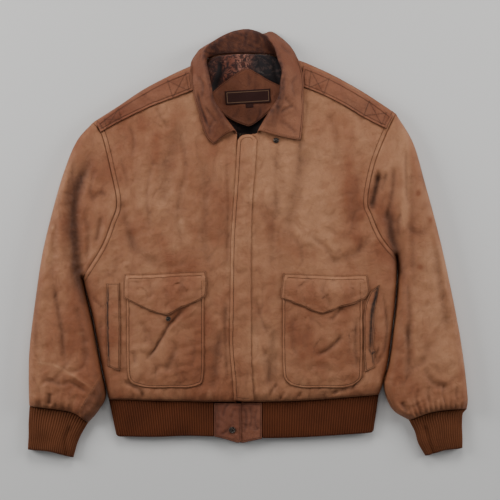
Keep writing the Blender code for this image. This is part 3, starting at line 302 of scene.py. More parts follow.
def dressed(xy, dome):
    """Height of the upper leather: rounded edges, folds, seams and soft unevenness."""
    d = edge_distance(xy)
    inside = ease(d / 20.0)
    uneven = 0.9 * ripples(xy, 70.0, 3) + 0.45 * ripples(xy, 26.0, 5) + 0.16 * ripples(xy, 11.0, 8)
    fine = 0.75 * wrinkle_lines(xy, 46.0, 91) + 0.45 * wrinkle_lines(xy, 25.0, 95)
    loose = fold_parts(xy)[0] - seam_rise(xy) - uneven + fine
    return FOLD_HEIGHT + (dome - FOLD_HEIGHT) * round_rise(d, TOP_ROUND) - loose * inside


def body_height(xy):
    """Height of a front: it blouses over the waistband and gathers into it."""
    xy = np.asarray(xy, dtype=float)
    d, along = distance(HEM, xy, 400.0)
    d = np.where(xy[..., 1] < -290, distance(HEM, xy)[0], d)
    dome = BAND_HEIGHT + (body_dome(xy) - BAND_HEIGHT) * round_rise(d, BLOUSE_DEPTH)
    beat = 2 * math.pi * along * 26 + 1.4 * ripples(xy, 120.0, 12)
    waves = 2.2 * np.cos(beat) * ease(d / 10.0) * np.exp(-d / 24.0)
    return dressed(xy, dome + waves * (np.abs(xy[..., 0] + 15) > 45))


def coons(left, right, bottom, top, us, vs):
    """Grid of points between four rows of edge points."""
    u = np.array(us)[None, :, None]
    v = np.array(vs)[:, None, None]
    rows = (1 - u) * left[:, None] + u * right[:, None]
    cols = (1 - v) * bottom[None] + v * top[None]
    corners = ((1 - u) * (1 - v) * left[0] + u * (1 - v) * right[0]
               + (1 - u) * v * left[-1] + u * v * right[-1])
    return rows + cols - corners


def with_height(plan, height):
    height = np.broadcast_to(height, plan.shape[:-1])
    return np.concatenate([plan, height[..., None]], axis=-1)


def unit(vectors):
    return vectors / np.maximum(np.linalg.norm(vectors, axis=-1, keepdims=True), 1e-12)


def grid_normals(grid, around=False):
    du = np.roll(grid, -1, axis=1) - np.roll(grid, 1, axis=1) if around else np.gradient(grid, axis=1)
    return unit(np.cross(du, np.gradient(grid, axis=0)))


def flat3(vectors):
    return np.concatenate([vectors, np.zeros(vectors.shape[:-1] + (1,))], axis=-1)


def plan_normals(curve, toward):
    """Unit normals of a plan curve on the side of a point."""
    tangent = np.gradient(curve, axis=0)
    normal = unit(np.stack([tangent[:, 1], -tangent[:, 0]], axis=-1))
    if np.dot(normal[len(normal) // 2], np.array(toward) - curve[len(curve) // 2]) < 0:
        normal = -normal
    return normal


def across(width, edge, middle):
    near = np.array(edge)
    span = width - 2 * near[-1]
    inner = near[-1] + span * np.linspace(0, 1, middle + 1)[1:-1]
    return np.concatenate([near, inner, width - near[::-1]])


stud_low, stud_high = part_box("snap_hem")
# from the solids' frame to plan millimetres, in which the hem's stud lies at -29, -352
SHIFT = np.array([-29.0 - 500.0 * (stud_low.x + stud_high.x),
                  -352.0 - 500.0 * (stud_low.y + stud_high.y), 0.0])
pieces = {}


def closed_mesh(name, points, quads, marks=None):
    """An object in metres from plan points in millimetres, facing outward, with values per point."""
    points = np.array(points, dtype=float)
    points[:, 2] = np.maximum(points[:, 2], 0.0)
    quads = np.array(quads)
    a, b, c, d = (points[quads[:, k]] for k in range(4))
    volume = (np.einsum("ij,ij->i", a, np.cross(b, c)) + np.einsum("ij,ij->i", a, np.cross(c, d))).sum()
    if volume < 0:
        quads = quads[:, ::-1]
    mesh = bpy.data.meshes.new(name)
    mesh.from_pydata(((points - SHIFT) * 0.001).tolist(), [], quads.tolist())
    for key, values in (marks or {}).items():
        values = np.asarray(values, dtype=float)
        kind = "FLOAT" if values.ndim == 1 else "FLOAT_VECTOR"
        layer = mesh.attributes.new(key, kind, "POINT")
        layer.data.foreach_set("value" if values.ndim == 1 else "vector", values.ravel())
    mesh.update()
    mesh.shade_smooth()
    thing = bpy.data.objects.new(name, mesh)
    bpy.context.scene.collection.objects.link(thing)
    pieces[name] = thing
    return thing


def wall(name, outer, normals, thickness, around=False, marks=None):
    """One closed shell: the outer grid, the same grid moved in, and rims between them."""
    inner = outer - normals * thickness
    rows, cols = outer.shape[:2]
    size = rows * cols
    j, i = np.meshgrid(np.arange(rows - 1), np.arange(cols if around else cols - 1), indexing="ij")
    k = (i + 1) % cols
    a, b, c, d = j * cols + i, j * cols + k, (j + 1) * cols + k, (j + 1) * cols + i
    quads = [np.stack([a, b, c, d], -1).reshape(-1, 4), np.stack([a, d, c, b], -1).reshape(-1, 4) + size]
    i = np.arange(cols if around else cols - 1)
    k = (i + 1) % cols
    top = (rows - 1) * cols
    quads.append(np.stack([k, i, i + size, k + size], -1))
    quads.append(np.stack([top + i, top + k, top + k + size, top + i + size], -1))
    if not around:
        a, b = np.arange(rows - 1) * cols, np.arange(1, rows) * cols
        quads.append(np.stack([a, b, b + size, a + size], -1))
        quads.append(np.stack([b + cols - 1, a + cols - 1, a + cols - 1 + size, b + cols - 1 + size], -1))
    both = {}
    for key, values in (marks or {}).items():
        values = np.asarray(values, dtype=float)
        values = values.reshape(size if values.shape == outer.shape[:2] else (size, 3))
        both[key] = np.concatenate([values, values])
    return closed_mesh(name, np.vstack([outer.reshape(-1, 3), inner.reshape(-1, 3)]), np.vstack(quads), both)


# places where the leather is paler (positive) or darker (negative): middle, reach across and along, strength
RUBBED = [
    ((130, 170), (110, 120), 0.7), ((95, 60), (90, 110), 0.45), ((285, 175), (30, 55), 0.6),
    ((350, -30), (40, 120), 0.35), ((-150, 130), (90, 110), 0.35), ((-372, 20), (30, 120), 0.4),
    ((-120, -20), (110, 40), 0.3), ((40, -200), (26, 110), 0.35), ((-14, -60), (30, 200), 0.15),
    ((385, -200), (34, 90), 0.4), ((-395, -200), (24, 90), 0.25), ((-150, 270), (90, 26), 0.25),
    ((170, 265), (90, 26), 0.15), ((150, -150), (80, 80), -0.25), ((-320, -60), (26, 90), -0.45),
    ((-240, -280), (60, 40), -0.2), ((276, -40), (22, 80), -0.45), ((-235, 140), (18, 90), -0.3),
    ((-70, 90), (60, 120), -0.15), ((-290, -250), (34, 50), -0.6), ((210, 60), (40, 70), -0.25),
    ((-60, -250), (36, 60), -0.15), ((190, -280), (80, 20), -0.15), ((-195, 195), (60, 60), -0.35),
    ((-185, -175), (44, 60), 0.55), ((352, -120), (44, 110), 0.4), ((-14, -120), (22, 160), 0.3),
    ((216, 204), (26, 30), 0.5), ((88, 148), (30, 40), 0.6), ((107, 37), (34, 30), 0.5),
    ((195, 120), (22, 100), -0.8), ((-373, -22), (6, 12), 1.0), ((-316, -168), (10, 6), 0.8),
    ((-366, 31), (5, 5), 0.8), ((322, 96), (4, 5), -1.2), ((345, 46), (5, 5), -1.0),
    ((326, -43), (6, 5), -1.2), ((-92, -180), (14, 26), -0.5), ((302, -240), (40, 70), -0.45),
    ((-126, 40), (10, 14), 0.5), ((-134, -10), (14, 9), 0.4),
]
# narrow pale lines where a hidden seam or a fold has rubbed, a painted highlight down the left sleeve's ridge
# (the second line), and the darker tops of the shoulders
SCUFF_AND_HIGHLIGHT_LINES = [([(-391, -224), (-370, -226), (-349, -235), (-318, -254), (-292, -272)], 0.5, 2.6),
          ([(292, 212), (299, 165), (300, 115), (294, 40)], 0.8, 8.0),
          ([(-24, 180), (-28, 60), (-30, -60)], 0.35, 4.0),
          ([(-284, 236), (-247, 262), (-199, 294), (-150, 320), (-105, 341)], -0.8, 9.0),
          ([(272, 254), (223, 288), (170, 318), (130, 337), (98, 350)], -0.8, 9.0)]


def leather_marks(plan, shade_and_dark_tone=None, rim=None):
    """Paler and darker patches with one painted highlight, painted shade in creases, and distance from the
    nearest seam or cut edge, at plan points.
    """
    pale = 0.16 * ripples(plan, 130.0, 21) + 0.1 * ripples(plan, 45.0, 22)
    for (x, y), (across_x, along_y), strength in RUBBED:
        spot = ((plan[..., 0] - x) / across_x) ** 2 + ((plan[..., 1] - y) / along_y) ** 2
        pale += strength * np.exp(-spot)
    for route, strength, width in SCUFF_AND_HIGHLIGHT_LINES:
        pale += strength * np.exp(-(distance(curve_through(route, 6), plan, 4 * width)[0] / width) ** 2)
    if shade_and_dark_tone is None:
        shade_and_dark_tone = fold_parts(plan)[1]
    # painted shade along the fine wrinkle lines as well
    shade_and_dark_tone = shade_and_dark_tone + 0.22 * wrinkle_lines(plan, 46.0, 91) + 0.16 * wrinkle_lines(plan, 25.0, 95)
    if rim is None:
        rim = np.min([distance(seam, plan, NO_SEAM)[0] for seam in ARMHOLES.values()], axis=0)
    return {"pale": pale, "shade_and_dark_tone": np.clip(shade_and_dark_tone, 0, 1), "rim": np.minimum(rim, NO_SEAM)}


def front_leather(side):
    """One front: side seam and armhole on one edge, zip edge and neckline on the other."""
    side_seam = curve_through(SIDE_R if side == "right" else SIDE_L)
    armhole = ARMHOLES[side]
    centre = curve_through(CENTRE_R if side == "right" else CENTRE_L)
    neck = curve_through(FRONT_NECK_R if side == "right" else FRONT_NECK_L)
    shoulder = curve_through(SHOULDER_R if side == "right" else SHOULDER_L)[::-1]
    hem = HEM if side == "right" else HEM[::-1]
    hem_run = distance(hem, centre[0][None])[1][0]
    outer_line, inner_line = np.vstack([side_seam, armhole[1:]]), np.vstack([centre, neck[1:]])
    hem_steps, columns = list(np.linspace(0, 27, 11)), 86
    side_run, arm_run = lengths(side_seam)[-1], lengths(armhole)[-1]
    arm = across(arm_run, TOP_STEPS, 95)
    side_rows = np.linspace(hem_steps[-1], side_run, 70)[1:-1]
    outer_places = np.concatenate([hem_steps, side_rows, side_run + arm])
    inner_run = lengths(inner_line)[-1]
    top_rows = [inner_run - d for d in TOP_STEPS[::-1]]
    count = len(outer_places) - len(hem_steps) - len(top_rows)
    middle = np.linspace(hem_steps[-1], top_rows[0], count + 2)[1:-1]
    inner_places = np.concatenate([hem_steps, middle, top_rows])
    outer_pts, inner_pts = at(outer_line, outer_places), at(inner_line, inner_places)
    steps = np.array(TOP_STEPS)
    hem_total = hem_run * lengths(hem)[-1]
    bottom_places = np.concatenate([steps, np.linspace(steps[-1], hem_total, columns)[1:]])
    top_places = np.concatenate([steps, np.linspace(steps[-1], lengths(shoulder)[-1], columns)[1:]])
    bottom_pts, top_pts = at(hem, bottom_places), at(shoulder, top_places)
    bottom_pts[0], bottom_pts[-1] = side_seam[0], centre[0]
    us = bottom_places / hem_total
    vs = 0.5 * (outer_places / outer_places[-1] + inner_places / inner_places[-1])
    plan = coons(outer_pts, inner_pts, bottom_pts, top_pts, us, vs)

    height = body_height(plan)
    last_side = len(hem_steps) + len(side_rows)
    height[-1, :] = FOLD_HEIGHT
    height[:last_side + 1, 0] = FOLD_HEIGHT
    grid = with_height(plan, height)
    normals = grid_normals(grid)
    normals *= np.sign(normals[..., 2:].mean())
    out_side = -flat3(plan_normals(outer_pts, (0.0, 0.0)))
    normals[:last_side + 1, 0] = out_side[:last_side + 1]
    normals[-1, :] = -flat3(plan_normals(top_pts, (0.0, 0.0)))
    normals[0, 1:] = unit(normals[0, 1:] * np.array([1, 0, 1]))
    grid[last_side:, 0] -= out_side[last_side:] * SEAM_GAP
    grid[0, :, 1] += SEAM_GAP
    return wall("front_" + side + "_leather", grid, normals, LEATHER, marks=leather_marks(plan))


def under_height(xy, d):
    """Height of the underside: flat on the floor, curled up at its edges, lifted at the neck."""
    curl = FOLD_HEIGHT * (1 - round_rise(d, UNDER_ROUND))
    x, y = xy[..., 0], xy[..., 1]
    lift = NECK_LIFT * ease((y - 300) / 26.0) * ease((104 - np.abs(x + 4)) / 14.0)
    return np.maximum(curl, lift)


def back_leather():
    """The back: one wall flat on the floor, its side, shoulder and armhole edges turned up."""
    side_r, side_l = curve_through(SIDE_R), curve_through(SIDE_L)
    left_line = np.vstack([side_r, ARMHOLES["right"][1:]])
    right_line = np.vstack([side_l, ARMHOLES["left"][1:]])
    shoulder_r, shoulder_l = curve_through(SHOULDER_R)[::-1], curve_through(SHOULDER_L)
    neck = curve_through(BACK_NECK)
    top_line = np.vstack([shoulder_r, neck[1:], shoulder_l[1:]])
    steps = np.array(UNDER_STEPS)
    last_side, across_top = 30, 31

    def places(seam, armhole):
        seam_run, arm_run = lengths(seam)[-1], lengths(armhole)[-1]
        side_at = np.linspace(0, seam_run, last_side + 1)[:-1]
        return np.concatenate([side_at, seam_run + across(arm_run, steps, 44)])

    left_at, right_at = places(side_r, ARMHOLES["right"]), places(side_l, ARMHOLES["left"])
    run_r, run_n, run_l = (lengths(c)[-1] for c in (shoulder_r, neck, shoulder_l))
    top_at = np.concatenate([steps, np.linspace(steps[-1], run_r, across_top)[1:],
                             run_r + np.linspace(0, run_n, across_top)[1:-1],
                             run_r + run_n + np.linspace(0, run_l - steps[-1], across_top),
                             run_r + run_n + run_l - steps[:-1][::-1]])
    hem_total = lengths(HEM)[-1]
    inner = np.linspace(steps[-1], hem_total - steps[-1], len(top_at) - 2 * len(steps) + 2)
    bottom_at = np.concatenate([steps, inner[1:-1], hem_total - steps[::-1]])
    vs = 0.5 * (left_at / left_at[-1] + right_at / right_at[-1])
    left, right = at(left_line, left_at), at(right_line, right_at)
    top, bottom = at(top_line, top_at), at(HEM, bottom_at)
    plan = coons(left, right, bottom, top, bottom_at / hem_total, vs)
    grid = with_height(plan, under_height(plan, edge_distance(plan)))
    normals = grid_normals(grid)
    normals *= -np.sign(normals[..., 2:].mean())
    out_l, out_r = -flat3(plan_normals(left, (0.0, 0.0))), -flat3(plan_normals(right, (0.0, 0.0)))
    out_t = -flat3(plan_normals(top, (0.0, 0.0)))
    for column, out in ((0, out_l), (-1, out_r)):
        grid[:last_side + 1, column, 2] = FOLD_HEIGHT - SEAM_GAP / 2
        normals[:last_side + 1, column] = out[:last_side + 1]
        grid[last_side:, column] -= out[last_side:] * SEAM_GAP
    neck_cols = (top_at > run_r + 1) & (top_at < run_r + run_n - 1)
    grid[-1, ~neck_cols, 2] = FOLD_HEIGHT - SEAM_GAP / 2
    normals[-1, ~neck_cols] = out_t[~neck_cols]
    grid[-1, neck_cols, 2] = NECK_LIFT
    normals[-1, neck_cols] = (0, 0, -1)
    grid[0, :, 1] += SEAM_GAP
    normals[0] = unit(normals[0] * np.array([1, 0, 1]))
    # painted shade in the back's soft folds, and under the collar along the back neck
    back_fold_and_neck_shade = 0.35 * np.clip(ripples(plan, 60.0, 31), 0, 1)
    back_fold_and_neck_shade = back_fold_and_neck_shade + ease((plan[..., 1] - 335) / 10) * (np.abs(plan[..., 0] + 5) < 84)
    return wall("back_leather", grid, normals, LEATHER, marks=leather_marks(plan, shade_and_dark_tone=back_fold_and_neck_shade))


class Link:
    """A shader socket that can be added, multiplied and mixed as a number or a colour."""

    tree = None

    def __init__(self, socket):
        self.socket = socket

    @classmethod
    def node(cls, kind, settings=None, output=0, **inputs):
        """Any node: its type, its settings first, then the values or links of its sockets."""
        made = cls.tree.nodes.new(kind)
        for key, value in (settings or {}).items():
            setattr(made, key, value)
        for key, value in inputs.items():
            place = int(key[1:]) if key[1:].isdigit() else key.replace("_", " ")
            cls.feed(made.inputs[place], value)
        return cls(made.outputs[output])

    @classmethod
    def feed(cls, socket, value):
        if isinstance(value, cls):
            cls.tree.links.new(value.socket, socket)
        else:
            socket.default_value = value

    def maths(self, operation, *others, first=True):
        values = (self, *others) if first else (*others, self)
        inputs = {f"i{k}": value for k, value in enumerate(values)}
        return Link.node("ShaderNodeMath", {"operation": operation}, **inputs)

    def __add__(self, other):
        return self.maths("ADD", other)

    __radd__ = __add__

    def __mul__(self, other):
        return self.maths("MULTIPLY", other)

    __rmul__ = __mul__

    def __sub__(self, other):
        return self.maths("SUBTRACT", other)

    def __rsub__(self, other):
        return self.maths("SUBTRACT", other, first=False)

    def clamped(self):
        return self.maths("MAXIMUM", 0.0).maths("MINIMUM", 1.0)

    def step(self, low, high):
        """0 below low, 1 above high, smooth between."""
        settings = {"interpolation_type": "SMOOTHSTEP"}
        return Link.node("ShaderNodeMapRange", settings, i0=self, i1=low, i2=high, i3=0.0, i4=1.0)

    def tint(self, low, high):
        """The colour low where this is 0 and high where it is 1."""
        made = Link.tree.nodes.new("ShaderNodeMix")
        made.data_type = "RGBA"
        Link.feed(made.inputs[0], self)
        for socket, value in ((made.inputs[6], low), (made.inputs[7], high)):
            Link.feed(socket, value if isinstance(value, Link) else (*value, 1.0))
        return Link(made.outputs[2])


def spot_value(name, output=2):
    """A value stored on the mesh's points: output 2 is a number, 1 a vector."""
    return Link.node("ShaderNodeAttribute", {"attribute_name": name}, output)


def speckle(scale, detail=3.0, roughness=0.55, distortion=0.0, vector=None):
    place = vector if vector is not None else Link.node("ShaderNodeTexCoord", output=3)
    return Link.node("ShaderNodeTexNoise", i0=place, Scale=scale, Detail=detail, Roughness=roughness,
                     Distortion=distortion)


def new_finish(name, roughness, **constants):
    """A Principled material whose nodes are then built on Link.tree."""
    made = bpy.data.materials.new(name)
    made.use_nodes = True
    Link.tree = made.node_tree
    shader = made.node_tree.nodes["Principled BSDF"]
    shader.inputs["Roughness"].default_value = roughness
    for key, value in constants.items():
        shader.inputs[key.replace("_", " ")].default_value = value
    return made, shader


def leather_finish(name, mid, rubbed, dark, rows=(ARMHOLE_ROW,)):
    """Worn dressed cowhide: mottled, pale where rubbed and under one painted highlight, with painted shade in
    creases, in the grooves of stitched rows and right at cut edges.
    """
    made, shader = new_finish(name, 0.5, Specular_IOR_Level=0.3)
    pale, shade_and_dark_tone, rim = spot_value("pale"), spot_value("shade_and_dark_tone"), spot_value("rim")
    cloud, patchy, fleck = speckle(9.0, 4.0), speckle(38.0, 4.0, 0.6, 0.8), speckle(240.0, 3.0)
    stain = speckle(17.0, 3.0, 0.6, 2.0).step(0.56, 0.7)
    crinkle = (speckle(55.0, 5.0, 0.62, 1.6) - 0.5).maths("ABSOLUTE") * 2.0
    veins = 1.0 - crinkle.step(0.0, 0.13)
    fine = (speckle(150.0, 3.0, 0.6, 0.6) - 0.5).maths("ABSOLUTE") * 2.0
    fine_veins = 1.0 - fine.step(0.0, 0.12)
    drawn = Link.node("ShaderNodeMapping", i0=Link.node("ShaderNodeTexCoord", output=3), i3=(1.0, 0.22, 1.0))
    streaks = speckle(30.0, 3.0, 0.55, 0.4, drawn)
    # worn takes in the pale marks, which hold one painted highlight along with the paler patches
    worn = (pale * 0.8 + (cloud - 0.5) * 1.4 + (patchy - 0.5) * 0.4 + (streaks - 0.5) * 1.0 + 0.34).clamped()
    base = worn.tint(mid, rubbed)
    base = (stain * 0.25).tint(base, tuple(0.62 * a + 0.38 * b for a, b in zip(mid, dark)))
    reach = 0.5 * (rows[-1] - rows[0]) or 0.4 * rows[0]
    between = 1.0 - (rim - 0.5 * sum(rows)).maths("ABSOLUTE").step(0.15 * rows[0], reach)
    edge = 1.0 - (rim - 1.3).maths("ABSOLUTE").step(0.3, 1.0)
    scuffed = ((between * (0.3 if len(rows) > 1 else 0.15) + edge * 0.12) * (0.35 + patchy * 0.9)).clamped()
    base = scuffed.tint(base, tuple(min(1.15 * c, 1.0) for c in rubbed))
    # sunk paints shade in the groove of each stitched row
    sunk = 1.0 - (rim - rows[0]).maths("ABSOLUTE").step(0.25, 0.95)
    for row in rows[1:]:
        sunk = sunk.maths("MAXIMUM", 1.0 - (rim - row).maths("ABSOLUTE").step(0.25, 0.95))
    # painted shade in creases, stitch grooves and as a painted shadow right at cut edges and seams, over the
    # grain's own veins and flecks
    shade = (shade_and_dark_tone * (0.64 + patchy * 0.5) + veins * 0.09 + fine_veins * 0.05 + sunk * 0.5
             + (1.0 - rim.step(0.1, 1.1)) * 0.7 + (fleck.step(0.58, 0.72)) * 0.06).clamped()
    Link.feed(shader.inputs["Base Color"], shade.tint(base, dark))
    Link.feed(shader.inputs["Roughness"], 0.64 - worn * 0.06 - shade_and_dark_tone * 0.08 + (fleck - 0.5) * 0.12)
    relief = (patchy * 0.35 + streaks * 0.35 - veins * 0.25 - fine_veins * 0.16 + fleck * 0.1 - sunk * 0.5
              - (1.0 - rim.step(0.1, 1.2)) * 0.5)
    bump = Link.node("ShaderNodeBump", Strength=0.75, Distance=0.0014, Height=relief)
    Link.feed(shader.inputs["Normal"], bump)
    return made


# each: mid tone, rubbed tone, and the dark tone taken by painted shade and stains
TAN = (0.245, 0.083, 0.036), (0.405, 0.188, 0.094), (0.080, 0.026, 0.010)
RED_BROWN = (0.176, 0.051, 0.023), (0.290, 0.112, 0.056), (0.052, 0.015, 0.007)
hide = leather_finish("worn_hide", *TAN)


def lay_sheet(thing, finish, nodes, size, rests_on):
    """Give a finished cloth piece its finish, hide the solids it stands for and hang it under the root body;
    its cut (size) is not used.
    """
    thing.data.materials.clear()
    thing.data.materials.append(finish)
    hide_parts(*nodes)
    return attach(thing, "root")


back = back_leather()
lay_sheet(back, hide, ["back_panel"], (0.60, 0.68), ["floor"])
fronts = {side: front_leather(side) for side in ("right", "left")}
for side in ("right", "left"):
    lay_sheet(fronts[side], hide, ["front_" + side], (0.30, 0.67), ["back_leather"])

# Sleeves: two-part leather sleeves set into the armholes, each lying flat as a soft tube.
# They are creased deeply inside the elbow and gathered into the knit cuff.

SLEEVE_HEIGHT, CUFF_HEIGHT = 40.0, 20.0
CUFF_SEAM_R = [(-415, -308), (-379, -312), (-331, -320), (-303, -339)]
CUFF_SEAM_L = [(417, -313), (386, -314), (346, -320), (307, -334)]
CUFF_SEAMS = {"right": curve_through(CUFF_SEAM_R), "left": curve_through(CUFF_SEAM_L)}
UNDERARM_SEAM_R = curve_through([(-276, -249), (-291, -272), (-306, -295), (-316, -315)])
UNDERARM_SEAM_L = curve_through([(256, -271), (262, -283), (269, -296), (276, -312)])


def even_grid(left, right, bottom, top, parts, rounds=400):
    """Plan grid between four curves, relaxed until its lines run evenly round an inner corner."""
    even = np.linspace(0, 1, parts + 1)
    g = coons(spread(left, even), spread(right, even), spread(bottom, even), spread(top, even), even, even)
    for _ in range(rounds):
        du, dv = (g[1:-1, 2:] - g[1:-1, :-2]) / 2, (g[2:, 1:-1] - g[:-2, 1:-1]) / 2
        a = (dv * dv).sum(-1, keepdims=True)
        b = (du * dv).sum(-1, keepdims=True)
        c = (du * du).sum(-1, keepdims=True)
        twist = (g[2:, 2:] - g[2:, :-2] - g[:-2, 2:] + g[:-2, :-2]) / 4
        fresh = (a * (g[1:-1, 2:] + g[1:-1, :-2]) + c * (g[2:, 1:-1] + g[:-2, 1:-1]) - 2 * b * twist)
        g[1:-1, 1:-1] = fresh / np.maximum(2 * (a + c), 1e-9)
    return g


def clear_underarm(grid, push=7.0, reach=26.0):
    """Move the lines that pass the underarm point outward, clear of the body's side."""
    corner = grid[0, -1]
    rows, cols = grid.shape[:2]
    near = np.exp(-(np.linalg.norm(grid - corner, axis=-1) / reach) ** 2)
    column = ease((cols - 1 - np.arange(cols)) / 1.5)[None]
    row = ease(np.arange(rows) / 1.5)[:, None]
    grid[..., 0] += np.sign(corner[0]) * push * near * column * row
    return grid


def sleeve_leather(side):
    """One sleeve as a flattened tube from the armhole to the cuff seam."""
    right = side == "right"
    outer = curve_through(SLEEVE_OUTER_R if right else SLEEVE_OUTER_L)
    inner = curve_through(SLEEVE_INNER_R if right else SLEEVE_INNER_L)
    armhole, cuff = ARMHOLES[side][::-1], CUFF_SEAMS[side]
    even = clear_underarm(even_grid(outer, inner, armhole, cuff, 24))
    lines = np.array([curve_through(even[:, k], 8) for k in range(even.shape[1])]).transpose(1, 0, 2)
    plans, tops = [], 0
    for line in lines:
        line = curve_through(line, 3)
        width = lengths(line)[-1]
        over = across(width, TOP_STEPS, 54)
        under = across(width, UNDER_STEPS, 22)[1:-1][::-1]
        plans.append(at(line, np.concatenate([over, under])))
        tops = len(over)
    plan = np.array(plans)
    top = np.arange(plan.shape[1]) < tops
    d = edge_distance(plan)
    d[:, [0, tops - 1]] = 0.0
    along = ease(np.linspace(0, 1, len(plan)) / 0.3)[:, None]
    dome = body_dome(plan) * (1 - along) + SLEEVE_HEIGHT * along
    to_cuff, run = distance(cuff, plan)
    dome = CUFF_HEIGHT + (dome - CUFF_HEIGHT) * round_rise(to_cuff, BLOUSE_DEPTH)
    beat = 2 * math.pi * run * (8 if right else 12)
    dome += 2.2 * np.cos(beat) * ease(to_cuff / 8) * np.exp(-to_cuff / 20)
    over = dressed(plan, dome)
    over[:, [0, tops - 1]] = FOLD_HEIGHT
    grid = with_height(plan, np.where(top[None], over, under_height(plan, d)))
    normals = grid_normals(grid, around=True)
    normals *= np.sign(normals[:, tops // 2, 2].mean())
    for row, line, sense in ((0, armhole, (0.0, 0.0)), (-1, cuff, (0.0, -2000.0))):
        plan_line = spread(line, np.linspace(0, 1, 60))
        away = flat3(plan_normals(plan_line, sense))
        run_at = distance(line, grid[row, :, :2])[1]
        outward = np.stack([np.interp(run_at, np.linspace(0, 1, 60), away[:, k]) for k in range(3)], -1)
        grid[row] -= outward * (SEAM_GAP if row == 0 else SEAM_GAP / 2)
    seam = UNDERARM_SEAM_R if right else UNDERARM_SEAM_L
    rim = distance(seam, plan, NO_SEAM)[0]
    marks = leather_marks(plan, rim=np.where(top[None] & (rim <= 4.5), rim, NO_SEAM))
    # painted shade on the under-sleeve panel beyond the underarm seam toward the cuff, and random painted shade
    # on the faces that lie on the floor
    beyond = (plan[..., 0] - np.interp(plan[..., 1], seam[::-1, 1], seam[::-1, 0])) * (1 if right else -1)
    underarm_shade = ease(beyond / 2.0) * (plan[..., 1] < seam[0, 1] + 8) * (0.62 if right else 0.4)
    marks["shade_and_dark_tone"] = np.where(top[None], np.clip(marks["shade_and_dark_tone"] + underarm_shade, 0, 1),
                             0.3 * np.clip(ripples(plan, 50.0, 33), 0, 1))
    return wall("sleeve_" + side + "_leather", grid, normals, LEATHER, around=True, marks=marks)


sleeves = {side: sleeve_leather(side) for side in ("right", "left")}
for side in ("right", "left"):
    lay_sheet(sleeves[side], hide, ["sleeve_" + side], (0.36, 0.60), ["back_leather"])

# Cuffs and waistband: dark brown rib-knit wool, knitted double and sewn to the leather's edge.
# The ribs run with the arm and up the body, and the band is pulled in under the bloused leather.

KNIT = 2.6
RIB_RELIEF, CUFF_PITCH, BAND_PITCH = 1.3, 4.4, 4.75
CUFF_DEPTH, BAND_DEPTH = 75.0, 68.0
CUFF_OUTER_R = [(-415, -308), (-416, -332), (-418, -390)]
CUFF_OUTER_L = [(417, -313), (409, -325), (409, -359), (409, -387)]
CUFF_INNER_R = [(-303, -339), (-313, -356), (-319, -368), (-326, -385), (-331, -405)]
CUFF_INNER_L = [(307, -334), (318, -356), (325, -379), (338, -402)]
CUFF_END_R = [(-418, -390), (-379, -393), (-355, -399), (-331, -405)]
CUFF_END_L = [(409, -387), (375, -391), (355, -397), (338, -402)]
BAND_BOTTOM = [(-250, -366), (-185, -365), (-64, -365), (28, -369), (119, -365), (176, -363), (240, -357)]


def rib_path(length, pitch, parts=8):
    """Places over a length with the rib's rise at each, and how far along in ribs."""
    ribs = int(round(length / pitch))
    turns = np.linspace(0, ribs, parts * ribs + 1)
    rise = -RIB_RELIEF * (0.5 + 0.5 * np.cos(2 * math.pi * turns)) ** 1.6
    return turns / ribs * length, rise, turns


def top_section(width, height):
    """The upper half of a flattened tube's section, across and up, closely spaced."""
    t = 0.5 * width * (1 - np.cos(np.linspace(0, math.pi, 481)))
    rise = round_rise(np.minimum(t, width - t), TOP_ROUND)
    return np.stack([t, FOLD_HEIGHT + (height - FOLD_HEIGHT) * rise], axis=-1)


def under_section(width, parts):
    t = across(width, UNDER_STEPS, parts)[1:-1]
    z = FOLD_HEIGHT * (1 - round_rise(np.minimum(t, width - t), UNDER_ROUND))
    return np.stack([t, z], axis=-1)[::-1]


def knit_marks(turns, down):
    """Rib count across and millimetres down the rib, for the knitted loops."""
    shape = (len(down), len(turns))
    u, v = np.broadcast_to(turns, shape), np.broadcast_to(np.array(down)[:, None], shape)
    return {"loops": np.stack([u, v, np.zeros(shape)], axis=-1)}


